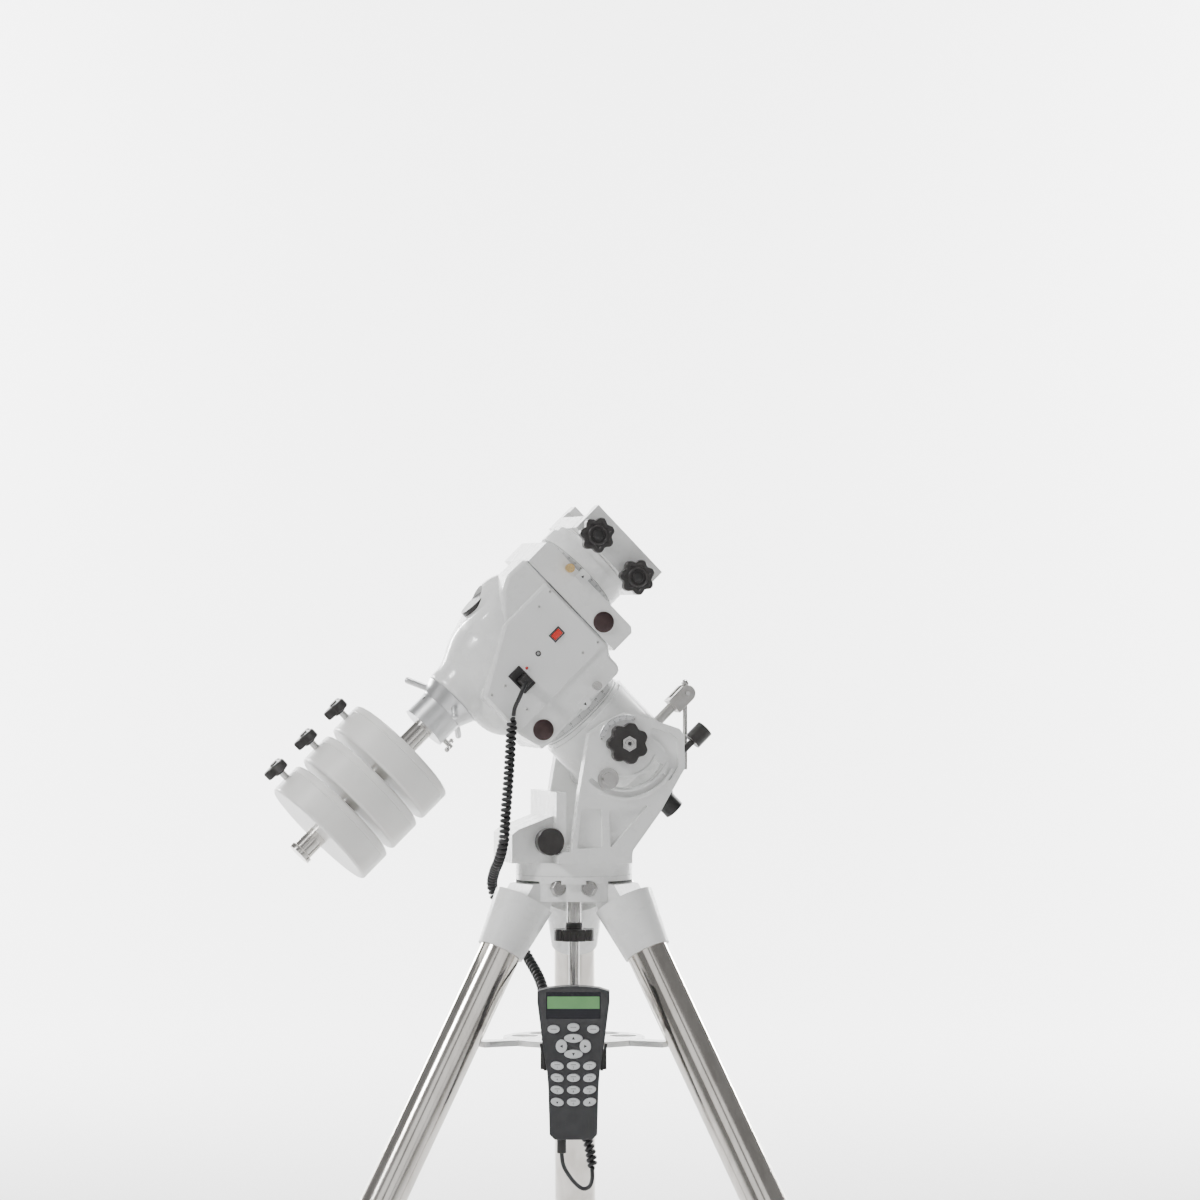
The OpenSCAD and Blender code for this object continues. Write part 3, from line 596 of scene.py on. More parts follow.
class Piece:
    """One piece under way: a mesh in millimetres in a local frame."""

    def __init__(self, name: str, place: Matrix) -> None:
        """Starts an empty piece.

        Args:
            name: the name of the finished object.
            place: the local frame, in millimetres.
        """
        self.name = name
        self.place = place
        self.bm = bmesh.new()
        self.finishes: list[Finish] = []

    def adopt(self, node: str, flat: float = 1.2) -> "Piece":
        """Takes in a copy of a solid from the frame, with its triangles joined into faces.

        Args:
            node: the solid's name.
            flat: the largest angle between two faces that are joined, in degrees; 0 joins none.
        Returns:
            This piece.
        """
        source = bmesh.new()
        source.from_mesh(frame["nodes"][node].data)
        source.transform(self.place.inverted() @ Matrix.Scale(1.0 / MM, 4))
        bmesh.ops.remove_doubles(source, verts=source.verts, dist=0.004)
        if flat > 0.0:
            bmesh.ops.dissolve_limit(
                source, angle_limit=math.radians(flat), verts=source.verts, edges=source.edges
            )
        mesh = bpy.data.meshes.new(self.name)
        source.to_mesh(mesh)
        source.free()
        self.bm.from_mesh(mesh)
        bpy.data.meshes.remove(mesh)
        return self

    def soften(
        self, width: float, segments: int = 2, angle: float = 34.0, keep: Callable | None = None
    ) -> "Piece":
        """Rounds the sharp edges.

        Args:
            width: how far the rounding reaches from the edge.
            segments: the number of strips in it.
            angle: edges that turn by less stay as they are, in degrees.
            keep: tells for an edge whether it is rounded; all are when it is None.
        Returns:
            This piece.
        """
        limit = math.radians(angle)
        sharp = [
            e for e in self.bm.edges
            if e.is_manifold and e.calc_face_angle(0.0) > limit and (keep is None or keep(e))
        ]
        bmesh.ops.bevel(
            self.bm, geom=sharp, offset=width, offset_type="OFFSET", affect="EDGES",
            segments=segments, profile=0.5, material=-1, clamp_overlap=True,
        )
        return self

    def paint(self, finish: Finish, faces: Iterable | None = None) -> "Piece":
        """Gives faces a finish, or the whole piece when no faces are named.

        Args:
            finish: the finish.
            faces: the faces that take it.
        Returns:
            This piece.
        """
        if finish not in self.finishes:
            self.finishes.append(finish)
        index = self.finishes.index(finish)
        for face in self.bm.faces if faces is None else faces:
            face.material_index = index
        return self

    def added(self, before: set, place: Matrix | None) -> list:
        """Puts the vertices added since before in place, and returns their faces.

        Args:
            before: the vertices that were there.
            place: where the new ones go.
        Returns:
            The new faces.
        """
        verts = [v for v in self.bm.verts if v not in before]
        if place is not None:
            bmesh.ops.transform(self.bm, matrix=place, verts=verts)
        return list({f for v in verts for f in v.link_faces})

    def lathe(
        self, profile: Sequence[tuple[float, float]], steps: int = 64, place: Matrix | None = None
    ) -> list:
        """Spins a profile of (radius, height) points about z.

        Args:
            profile: the points, from one end to the other.
            steps: the number of strips round it.
            place: where the turned shape goes in this piece.
        Returns:
            The new faces.
        """
        before = set(self.bm.verts)
        verts = [self.bm.verts.new((r, 0.0, z)) for r, z in profile]
        edges = [self.bm.edges.new(pair) for pair in zip(verts, verts[1:])]
        bmesh.ops.spin(
            self.bm, geom=verts + edges, axis=(0, 0, 1), cent=(0, 0, 0), steps=steps,
            angle=math.tau, use_merge=True,
        )
        fresh = [v for v in self.bm.verts if v not in before]
        bmesh.ops.remove_doubles(self.bm, verts=fresh, dist=0.001)
        faces = self.added(before, place)
        bmesh.ops.recalc_face_normals(self.bm, faces=faces)
        return faces

    def plate(
        self, outline: Sequence[tuple[float, float]], low: float, high: float,
        place: Matrix | None = None,
    ) -> list:
        """Raises a flat outline in x and y from z = low to z = high.

        Args:
            outline: its corners in order.
            low: the height of its under side.
            high: the height of its top.
            place: where it goes in this piece.
        Returns:
            The new faces.
        """
        before = set(self.bm.verts)
        base = self.bm.faces.new([self.bm.verts.new((x, y, low)) for x, y in outline])
        raised = bmesh.ops.extrude_face_region(self.bm, geom=[base])["geom"]
        tops = [v for v in raised if isinstance(v, bmesh.types.BMVert)]
        bmesh.ops.translate(self.bm, vec=(0, 0, high - low), verts=tops)
        self.cap(before)
        faces = self.added(before, place)
        bmesh.ops.recalc_face_normals(self.bm, faces=faces)
        return faces

    def cap(self, before: set) -> None:
        """Closes any open rim among the new vertices.

        Args:
            before: the vertices that were there.
        """
        rims = [
            e for e in self.bm.edges
            if e.is_boundary and e.verts[0] not in before and e.verts[1] not in before
        ]
        if rims:
            bmesh.ops.holes_fill(self.bm, edges=rims, sides=0)

    def block(
        self, low: tuple[float, float, float], high: tuple[float, float, float],
        place: Matrix | None = None,
    ) -> list:
        """A box between two corners, and its faces.

        Args:
            low: its lowest corner.
            high: its highest corner.
            place: where it goes.
        Returns:
            Its faces.
        """
        size = [h - l for l, h in zip(low, high)]
        middle = [(h + l) / 2 for l, h in zip(low, high)]
        before = set(self.bm.verts)
        bmesh.ops.create_cube(
            self.bm, size=1.0, matrix=Matrix.Translation(middle) @ Matrix.Diagonal((*size, 1.0))
        )
        return self.added(before, place)

    def rod(self, r1: float, r2: float, low: float, high: float, place: Matrix | None = None,
            sides: int = 32) -> list:
        """A round bar or cone along z, and its faces.

        Args:
            r1: the radius at its low end.
            r2: the radius at its high end.
            low: the height of its low end.
            high: the height of its high end.
            place: where it goes.
            sides: the number of its flat sides.
        Returns:
            Its faces.
        """
        before = set(self.bm.verts)
        bmesh.ops.create_cone(
            self.bm, cap_ends=True, cap_tris=False, segments=sides, radius1=r1, radius2=r2,
            depth=high - low, matrix=Matrix.Translation((0, 0, (low + high) / 2)),
        )
        return self.added(before, place)

    def ball(self, r: float, place: Matrix) -> list:
        """A ball, and its faces.

        Args:
            r: its radius.
            place: its middle.
        Returns:
            Its faces.
        """
        before = set(self.bm.verts)
        bmesh.ops.create_uvsphere(self.bm, u_segments=28, v_segments=18, radius=r)
        return self.added(before, place)

    def finish(
        self, finish: Finish | None = None, slot: str | None = None, body: str | None = None,
        stands_for: Sequence[str] = (), angle: float = SMOOTH_ANGLE, weigh: bool = True,
    ) -> bpy.types.Object:
        """Turns the piece into an object that rides on its body.

        Args:
            finish: the finish of the whole piece, if it has only one.
            slot: the record's slot, else the finish's; it is worked out but not stored, so it has
                no effect.
            body: the body that it rides on; that of the first solid it stands for when None.
            stands_for: the solids that it replaces.
            angle: edges that turn by more stay crisp, in degrees.
            weigh: flat faces keep their full shade up to their rounded edges.
        Returns:
            The finished object.
        """
        if finish is not None:
            self.paint(finish)
        self.bm.transform(Matrix.Scale(MM, 4) @ self.place)
        mesh = bpy.data.meshes.new(self.name)
        self.bm.to_mesh(mesh)
        self.bm.free()
        mesh.polygons.foreach_set("use_smooth", [True] * len(mesh.polygons))
        mesh.set_sharp_from_angle(angle=math.radians(angle))
        for used in self.finishes:
            mesh.materials.append(PAINT.get(used))
        obj = bpy.data.objects.new(self.name, mesh)
        bpy.context.scene.collection.objects.link(obj)
        if weigh:
            weighted = obj.modifiers.new("Flat Shading", "WEIGHTED_NORMAL")
            weighted.keep_sharp = True
        if stands_for:
            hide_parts(*stands_for)
        rides = body or body_of(frame["nodes"][stands_for[0]])[0]
        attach(obj, rides)
        slot or self.finishes[0].slot
        log.info("%s on %s: %d faces", self.name, rides, len(mesh.polygons))
        return obj


def frozen(obj: bpy.types.Object, cutters: Sequence[bpy.types.Object] = ()) -> None:
    """Works an object's modifiers into its mesh.

    Args:
        obj: the object.
        cutters: objects that its modifiers needed, which are removed afterwards.
    """
    graph = bpy.context.evaluated_depsgraph_get()
    solid = bpy.data.meshes.new_from_object(obj.evaluated_get(graph))
    obj.modifiers.clear()
    obj.data = solid
    for cutter in cutters:
        bpy.data.objects.remove(cutter)


def dressed(
    node: str, place: Matrix, finish: Finish, width: float, segments: int = 2, flat: float = 1.2,
    angle: float = 34.0,
) -> bpy.types.Object:
    """A solid from the frame with rounded edges and its finish.

    Args:
        node: the solid's name.
        place: the frame in which it is worked on.
        finish: its finish.
        width: the rounding of its edges.
        segments: the strips in the rounding.
        flat: the largest angle between two faces that are joined, in degrees.
        angle: edges that turn by less stay as they are, in degrees.
    Returns:
        The finished object.
    """
    piece = Piece(f"{node}_skin", place).adopt(node, flat)
    if width > 0.0:
        piece.soften(width, segments, angle)
    return piece.finish(finish, stands_for=(node,))


# ---------------------------------------------------------------------------
# Cord
# ---------------------------------------------------------------------------


@dataclass
class CoiledCord:
    """The hand control's cord: a straight lead, a long coil and a short tail."""

    thickness: float = 5.0
    coil_radius: float = 4.25
    pitch: float = 6.4
    points_per_turn: int = 16
    lead: list = field(default_factory=lambda: [
        (-55, -97, 998), (-59, -103, 990), (-64, -102, 978), (-69, -98, 967), (-71, -95, 957),
    ])
    coil: list = field(default_factory=lambda: [
        (-71, -95, 955), (-73, -92, 944), (-75, -90, 914), (-77, -86, 884), (-80, -80, 846),
        (-83, -74, 808), (-89, -55, 784), (-95, -26, 769), (-98, -2, 750), (-89, 7, 724),
        (-75, 6, 700), (-57, -4, 668), (-40, -42, 640), (-33, -76, 612), (-32, -88, 580),
        (-26, -91, 545), (-8, -91, 508), (11, -93, 472), (20, -97, 442), (22, -102, 420),
    ])
    tail: list = field(default_factory=lambda: [
        (22, -102, 420), (22, -105, 411), (19, -108, 403), (12, -110, 400), (4, -112, 405),
        (-5, -115, 416), (-12, -117, 429), (-14, -118, 444),
    ])

    def build(self, plug: bpy.types.Object) -> None:
        """Lays the lead on the head, and the coil and its tail on the tray.

        Args:
            plug: the plug at the far end, below the hand control; not used.
        """
        lead_line = catmull([Vector(p) for p in self.lead], 5)
        lead = self._curve("cord_lead_skin", lead_line, "cord_lead")
        line = self._coiled() + catmull([Vector(p) for p in self.tail], 4)[1:]
        coil = self._curve("cord_coil_skin", line, "cord_coil", "cord_tail")

    def _coiled(self) -> list[Vector]:
        """The centreline of the wire along the coil, fading into a straight wire at both ends.

        Returns:
            The points of the line.
        """
        spine = catmull([Vector(p) for p in self.coil], 10)
        along = [0.0]
        for a, b in zip(spine, spine[1:]):
            along.append(along[-1] + (b - a).length)
        step = self.pitch / self.points_per_turn
        count = int(along[-1] / step)
        line = []
        side = Vector((1.0, 0.0, 0.0))
        piece = 0
        for i in range(count + 1):
            at = along[-1] * i / count
            while piece < len(spine) - 2 and along[piece + 1] < at:
                piece += 1
            forward = (spine[piece + 1] - spine[piece]).normalized()
            part = (at - along[piece]) / (along[piece + 1] - along[piece])
            centre = spine[piece].lerp(spine[piece + 1], part)
            side = (side - forward * side.dot(forward)).normalized()
            across = forward.cross(side)
            reach = self.coil_radius * smoothstep(0.0, 10.0, at)
            reach *= smoothstep(0.0, 10.0, along[-1] - at)
            angle = math.tau * at / self.pitch
            line.append(centre + reach * (side * math.cos(angle) + across * math.sin(angle)))
        return line

    def _length(self, line: Sequence[Vector]) -> float:
        """The length of a line, in metres."""
        return sum((b - a).length for a, b in zip(line, line[1:])) * MM

    def _metres(self, point: Vector) -> tuple[float, float, float]:
        """A point of the stand, in metres in the frame of the mount."""
        return tuple((STAND @ point) * MM)

    def _curve(self, name: str, line: Sequence[Vector], *nodes: str) -> bpy.types.Object:
        """A round wire along a line.

        Args:
            name: the name of the object.
            line: its centreline in millimetres.
            nodes: the solids that it stands for.
        Returns:
            The curve.
        """
        data = bpy.data.curves.new(name, "CURVE")
        data.dimensions = "3D"
        data.bevel_depth = self.thickness / 2 * MM
        data.bevel_resolution = 3
        data.use_fill_caps = True
        spline = data.splines.new("POLY")
        spline.points.add(len(line) - 1)
        for point, place in zip(spline.points, line):
            point.co = (*self._metres(place), 1.0)
        spline.use_smooth = True
        data.materials.append(PAINT.get(CORD_RUBBER))
        obj = bpy.data.objects.new(name, data)
        bpy.context.scene.collection.objects.link(obj)
        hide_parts(*nodes)
        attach(obj, body_of(frame["nodes"][nodes[0]])[0])
        log.info("%s: %.3f m of wire", name, self._length(line))
        return obj


# ---------------------------------------------------------------------------
# Studio
# ---------------------------------------------------------------------------


@dataclass
class Studio:
    """The pale sweep, the soft lights and the camera."""

    lens: float = 150.0
    camera_at: tuple[float, float, float] = (0.0312, -6.1183, 1.0936)
    sweep_half: float = 7.5
    sweep_back: float = 6.6
    sweep_height: float = 4.5
    sweep_round: float = 1.2

    def build(self) -> None:
        """Puts up everything that isn't part of the mount."""
        self._camera()
        self._sweep()
        self._flags()
        self._lights()

    def _camera(self) -> None:
        """A long lens on the level of the weights."""
        data = bpy.data.cameras.new("Camera")
        data.lens = self.lens
        data.sensor_width = 36.0
        camera = bpy.data.objects.new("Camera", data)
        camera.location = self.camera_at
        camera.rotation_euler = (math.radians(90.0), 0.0, 0.0)
        bpy.context.scene.collection.objects.link(camera)
        bpy.context.scene.camera = camera

    def _staged(self, name: str, bm: bmesh.types.BMesh, color: tuple[float, float, float]) -> None:
        """Adds a mesh that isn't part of the mount, painted in a matt tone.

        Args:
            name: the object's name.
            bm: its mesh, used up here.
            color: its tone.
        """
        mesh = bpy.data.meshes.new(name)
        bm.to_mesh(mesh)
        bm.free()
        mesh.polygons.foreach_set("use_smooth", [True] * len(mesh.polygons))
        paper = Finish(f"{name} Paper", "", color, color, 0.8, mottle=0.0, grain=60.0, bump=0.02)
        mesh.materials.append(PAINT.get(paper))
        obj = bpy.data.objects.new(name, mesh)
        obj.visible_camera = name.startswith("sweep")
        bpy.context.scene.collection.objects.link(obj)

    def _sweep(self) -> None:
        """A floor that curves up into a backdrop."""
        bm = bmesh.new()
        front = [bm.verts.new((x, -9.0, 0.0)) for x in (-self.sweep_half, self.sweep_half)]
        edge = bm.edges.new(front)
        bend = [(self.sweep_back, 0.0)]
        for i in range(1, 13):
            a = math.radians(90.0 * i / 12)
            bend.append((
                self.sweep_back + self.sweep_round * math.sin(a),
                self.sweep_round * (1.0 - math.cos(a)),
            ))
        bend.append((self.sweep_back + self.sweep_round, self.sweep_height))
        y, z = -9.0, 0.0
        for to_y, to_z in bend:
            made = bmesh.ops.extrude_edge_only(bm, edges=[edge])["geom"]
            edge = next(g for g in made if isinstance(g, bmesh.types.BMEdge))
            bmesh.ops.translate(bm, vec=(0.0, to_y - y, to_z - z), verts=list(edge.verts))
            y, z = to_y, to_z
        self._staged("sweep", bm, (0.93, 0.93, 0.93))

    def _flags(self) -> None:
        """Dark cards to both sides that draw dark lines in the polished tubes."""
        for i, (x, y, turn, wide) in enumerate(
            ((-2.6, -2.2, 56.0, 0.11), (2.7, -2.0, -58.0, 0.11))
        ):
            bm = bmesh.new()
            place = Matrix.Translation((x, y, 0.9)) @ turned(turn, "Z") @ turned(90.0, "X")
            bmesh.ops.create_grid(
                bm, x_segments=1, y_segments=1, size=0.5,
                matrix=place @ Matrix.Diagonal((wide, 1.9, 1.0, 1.0)),
            )
            self._staged(f"flag_{i + 1}", bm, (0.17, 0.13, 0.10))

    def _lights(self) -> None:
        """Soft boxes, a top light, two large front ones, and light on the backdrop."""
        lights = (
            ("key", (-3.4, -2.4, 3.9), 165.0, 0.9),
            ("fill", (3.6, -4.4, 1.6), 12.0, 2.0),
            ("top", (0.9, 0.6, 4.2), 70.0, 1.0),
            ("front_left", (-2.0, -7.0, 3.0), 34.0, 3.2),
            ("front_right", (2.2, -7.0, 3.0), 34.0, 3.2),
            ("backdrop_left", (-4.6, 5.0, 3.2), 1150.0, 1.8),
            ("backdrop_right", (4.6, 5.0, 3.2), 1150.0, 1.8),
        )
        aims = {"backdrop_left": (0.4, 7.8, 1.0), "backdrop_right": (-0.4, 7.8, 1.0)}
        for name, at, power, size in lights:
            data = bpy.data.lights.new(name, "AREA")
            data.energy = power
            data.size = size
            light = bpy.data.objects.new(name, data)
            light.location = at
            light.visible_camera = False
            towards = Vector(aims.get(name, (0.0, 0.0, 1.0))) - Vector(at)
            light.rotation_euler = towards.to_track_quat("-Z", "Y").to_euler()
            bpy.context.scene.collection.objects.link(light)
        world = bpy.data.worlds.new("Studio")
        world.use_nodes = True
        world.node_tree.nodes["Background"].inputs["Color"].default_value = (1.0, 1.0, 1.0, 1.0)
        world.node_tree.nodes["Background"].inputs["Strength"].default_value = 0.25
        bpy.context.scene.world = world


# ---------------------------------------------------------------------------
# Shared details
# ---------------------------------------------------------------------------


def lettered(
    piece: Piece, text: str, size: float, bend: Callable[[float, float], Vector], finish: Finish
) -> None:
    """Prints small figures on a surface.

    Args:
        piece: the piece that takes them in.
        text: the figures.
        size: their height in millimetres.
        bend: the place on the surface of a point across and up from the middle of the text.
        finish: the ink.
    """
    data = bpy.data.curves.new("figures", "FONT")
    data.body = text
    data.size = size * 1.35
    data.align_x = "CENTER"
    data.align_y = "CENTER"
    data.resolution_u = 2
    holder = bpy.data.objects.new("figures", data)
    flat = holder.to_mesh()
    before = set(piece.bm.verts)
    piece.bm.from_mesh(flat)
    holder.to_mesh_clear()
    bpy.data.objects.remove(holder)
    bpy.data.curves.remove(data)
    fresh = [v for v in piece.bm.verts if v not in before]
    for vert in fresh:
        vert.co = bend(vert.co.x, vert.co.y)
    piece.paint(finish, {f for v in fresh for f in v.link_faces})


@dataclass
class DialRing:
    """A graduated ring round an axis, with ticks and figures on its rim."""

    radius: float
    low: float
    high: float
    divisions: int
    figures: Sequence[str]
    long_every: int = 3
    tick_width: float = 0.45
    lift: float = 0.12

    def draw(self, piece: Piece, band: Finish, ink: Finish, up: float = 1.0) -> None:
        """Draws the printed band on a piece whose z axis is the ring's.

        Args:
            piece: the piece that takes it in.
            band: the finish of the band.
            ink: the ink of its ticks and figures.
            up: 1.0 where the figures stand towards +z, and -1.0 the other way.
        """
        tall = self.high - self.low
        edge = self.low if up > 0 else self.high
        ring = piece.lathe([
            (self.radius - 0.4, self.low), (self.radius + 0.06, self.low),
            (self.radius + 0.06, self.high), (self.radius - 0.4, self.high),
        ], 144)
        piece.paint(band, ring)
        for i in range(self.divisions):
            angle = 360.0 * i / self.divisions
            share = 0.46 if i % self.long_every == 0 else 0.26
            end = edge + up * tall * share
            half = self.tick_width / 2
            faces = piece.block(
                (self.radius - 0.3, -half, min(edge, end)),
                (self.radius + self.lift, half, max(edge, end)),
                turned(angle, "Z"),
            )
            piece.paint(ink, faces)
        for i, text in enumerate(self.figures):
            middle = math.tau * i / len(self.figures)
            height = edge + up * tall * 0.74

            def bend(x: float, y: float) -> Vector:
                """A point of the figures on the rim.

                Args:
                    x: how far along the figures' line.
                    y: how far up.
                Returns:
                    The point.
                """
                a = middle + up * x / self.radius
                r = self.radius + self.lift
                return Vector((r * math.cos(a), r * math.sin(a), height + up * y))

            lettered(piece, text, tall * 0.36, bend, ink)


def cross_screw(piece: Piece, r: float, place: Matrix, finish: Finish) -> None:
    """A low domed screw with a cross recess that is a near-black block of painted shade.

    Args:
        piece: the piece that takes it in.
        r: the radius of the head.
        place: its foot, with z out of the surface.
        finish: its metal.
    """
    dome = [(r, 0.0), (r, 0.25)]
    for i in range(1, 6):
        a = math.radians(18.0 * i)
        dome.append((r * math.cos(a), 0.25 + 0.42 * r * math.sin(a)))
    piece.paint(finish, piece.lathe(dome, 28, place))
    top = 0.25 + 0.42 * r
    # painted shade: the cross recess is a near-black block, not a cut
    for turn in (0.0, 90.0):
        faces = piece.block(
            (-0.55 * r, -0.10 * r, top - 0.35), (0.55 * r, 0.10 * r, top + 0.03),
            place @ turned(turn + 20.0, "Z"),
        )
        piece.paint(PAINTED_RECESS_SHADE, faces)


@dataclass
class LobedKnob:
    """A hand knob whose rim swings in and out between its lobes."""

    radius: float
    waist: float
    lobes: int
    tall: float
    sharpness: float = 1.6
    edge: float = 1.8
    dish: float = 2.4
    dish_deep: float = 0.5
    points: int = 16

    def draw(self, piece: Piece, place: Matrix, finish: Finish) -> None:
        """Adds the knob to a piece.

        Args:
            piece: the piece that takes it in.
            place: the middle of its under side, with z out of it.
            finish: its plastic.
        """
        outline = []
        count = self.lobes * self.points
        for i in range(count):
            a = math.tau * i / count
            dip = (0.5 + 0.5 * math.cos(self.lobes * a)) ** self.sharpness
            r = self.radius - (self.radius - self.waist) * dip
            outline.append((r * math.cos(a), r * math.sin(a)))
        before = set(piece.bm.verts)
        piece.plate(outline, 0.0, self.tall)
        rims = [
            e for e in piece.bm.edges
            if e.verts[0] not in before and abs(e.verts[0].co.z - e.verts[1].co.z) < 1e-4
        ]
        bmesh.ops.bevel(
            piece.bm, geom=rims, offset=self.edge, offset_type="OFFSET", affect="EDGES",
            segments=4, profile=0.5, material=-1, clamp_overlap=True,
        )
        if self.dish > 0.0:
            fresh = {f for v in piece.bm.verts if v not in before for f in v.link_faces}
            top = max(fresh, key=lambda f: (round(f.calc_center_median().z, 3), f.calc_area()))
            for thick, deep in ((self.dish, 0.0), (0.5, -self.dish_deep)):
                bmesh.ops.inset_region(piece.bm, faces=[top], thickness=thick, depth=deep)
        piece.paint(finish, piece.added(before, place))


def hex_nut(piece: Piece, r: float, tall: float, place: Matrix, finish: Finish) -> None:
    """A hexagon nut with a screw end and its socket in the middle; the socket is a near-black disc
    of painted shade.

    Args:
        piece: the piece that takes it in.
        r: the radius over its corners.
        tall: its height.
        place: its foot, with z out of the surface.
        finish: its metal.
    """
    before = set(piece.bm.verts)
    piece.rod(r, r, 0.0, tall, None, 6)
    edges = [e for e in piece.bm.edges if e.verts[0] not in before]
    bmesh.ops.bevel(
        piece.bm, geom=edges, offset=0.5, offset_type="OFFSET", affect="EDGES", segments=2,
        profile=0.5, material=-1, clamp_overlap=True,
    )
    piece.paint(finish, piece.added(before, place))
    end = [
        (0.58 * r, tall - 0.2), (0.58 * r, tall + 0.35), (0.54 * r, tall + 0.6),
        (0.30 * r, tall + 0.6), (0.28 * r, tall + 0.2), (0.0, tall + 0.2),
    ]
    piece.paint(STEEL, piece.lathe(end, 30, place))
    # painted shade: a near-black disc stands for the depth of the socket
    hole = [(0.27 * r, tall + 0.1), (0.27 * r, tall + 0.26), (0.0, tall + 0.26)]
    piece.paint(PAINTED_RECESS_SHADE, piece.lathe(hole, 6, place))


def saddle_hand_knob(name: str, node: str, s: float, t: float) -> bpy.types.Object:
    """One of the two knobs that close the saddle's jaw.

    Args:
        name: the name of the object.
        node: the solid that it stands for.
        s: its place along the declination axis.
        t: its place along the polar axis.
    Returns:
        The finished knob.
    """
    piece = Piece(name, POLAR)
    place = moved(s, 0.0, t) @ turned(90.0, "X")
    piece.paint(STEEL, piece.rod(4.0, 4.0, 12.0, 72.0, place, 24))
    collar = [(4.0, 70.3), (8.4, 70.3), (9.0, 70.9), (9.0, 75.5)]
    piece.paint(KNOB_PLASTIC, piece.lathe(collar, 32, place))
    out = place @ moved(0, 0, 74.0)
    LobedKnob(21.5, 17.6, 7, 13.0, sharpness=1.4, edge=2.2, dish=3.0).draw(piece, out, KNOB_PLASTIC)
    ring = [
        (8.4, 12.0), (8.7, 13.2), (9.6, 14.0), (11.4, 14.0), (12.4, 13.3), (12.8, 12.2),
    ]
    piece.paint(KNOB_PLASTIC, piece.lathe(ring, 48, out))
    cap = [(6.9, 12.0), (6.9, 13.6), (6.4, 14.6), (5.2, 15.3), (3.0, 15.8), (0.0, 16.0)]
    piece.paint(BLACK_PLASTIC, piece.lathe(cap, 40, out))
    return piece.finish(None, slot="dark_plastic", stands_for=(node,))


def weight_hand_knob(node: str, centre: float) -> bpy.types.Object:
    """The three-armed knob that clamps one counterweight.

    Args:
        node: the solid that it stands for.
        centre: the place of its weight along the declination axis.
    Returns:
        The finished knob.
    """
    piece = Piece(f"{node}_skin", POLAR)
    place = moved(centre, 0.0, 0.0)
    piece.paint(STEEL, piece.rod(4.0, 4.0, 12.9, 86.0, place, 24))
    collar = [(4.0, 84.2), (7.2, 84.2), (7.8, 84.9), (7.8, 88.0)]
    piece.paint(KNOB_PLASTIC, piece.lathe(collar, 32, place))
    knob = LobedKnob(17.4, 8.4, 3, 11.5, sharpness=0.8, edge=2.6, dish=0.0, points=36)
    knob.draw(piece, place @ moved(0, 0, 86.2), KNOB_PLASTIC)
    stub = [(5.0, 97.0), (5.0, 98.6), (4.4, 99.2), (0.0, 99.4)]
    piece.paint(BLACK_PLASTIC, piece.lathe(stub, 32, place))
    return piece.finish(None, slot="dark_plastic", stands_for=(node,))


# ---------------------------------------------------------------------------
# Tripod
# ---------------------------------------------------------------------------


@dataclass
class Tripod:
    """Hub, three folding and sliding legs, centre rod and spreader tray."""

    legs: tuple[tuple[str, float], ...] = (("left", -150.0), ("right", -30.0), ("rear", 90.0))
    casting_edge: float = 1.6
    hub_edge: float = 1.0

    def build(self) -> None:
        """Builds the tripod from the hub down."""
        dressed("tripod_hub", STAND, CASTING, self.hub_edge, 3)
        dressed("leg_bolts", STAND, STEEL, 0.5)
        for side, azimuth in self.legs:
            place = leg_place(azimuth)
            dressed(f"{side}_leg_casting", place, CASTING, self.casting_edge, 3)
            tube = replace(CHROME, name=f"{CHROME.name} {side}", turn=(0.0, LEG_TILT, -azimuth))
            dressed(f"{side}_leg_tube", place, tube, 0.5)
            dressed(f"{side}_leg_inner", place, tube, 0.6)
        dressed("centre_rod", STAND, STEEL, 0.4)
        dressed("rod_knob", STAND, KNOB_PLASTIC, 1.2, 3)
        dressed("spreader_tray", STAND, CASTING, 0.8, 3)


# ---------------------------------------------------------------------------
# Azimuth head
# ---------------------------------------------------------------------------


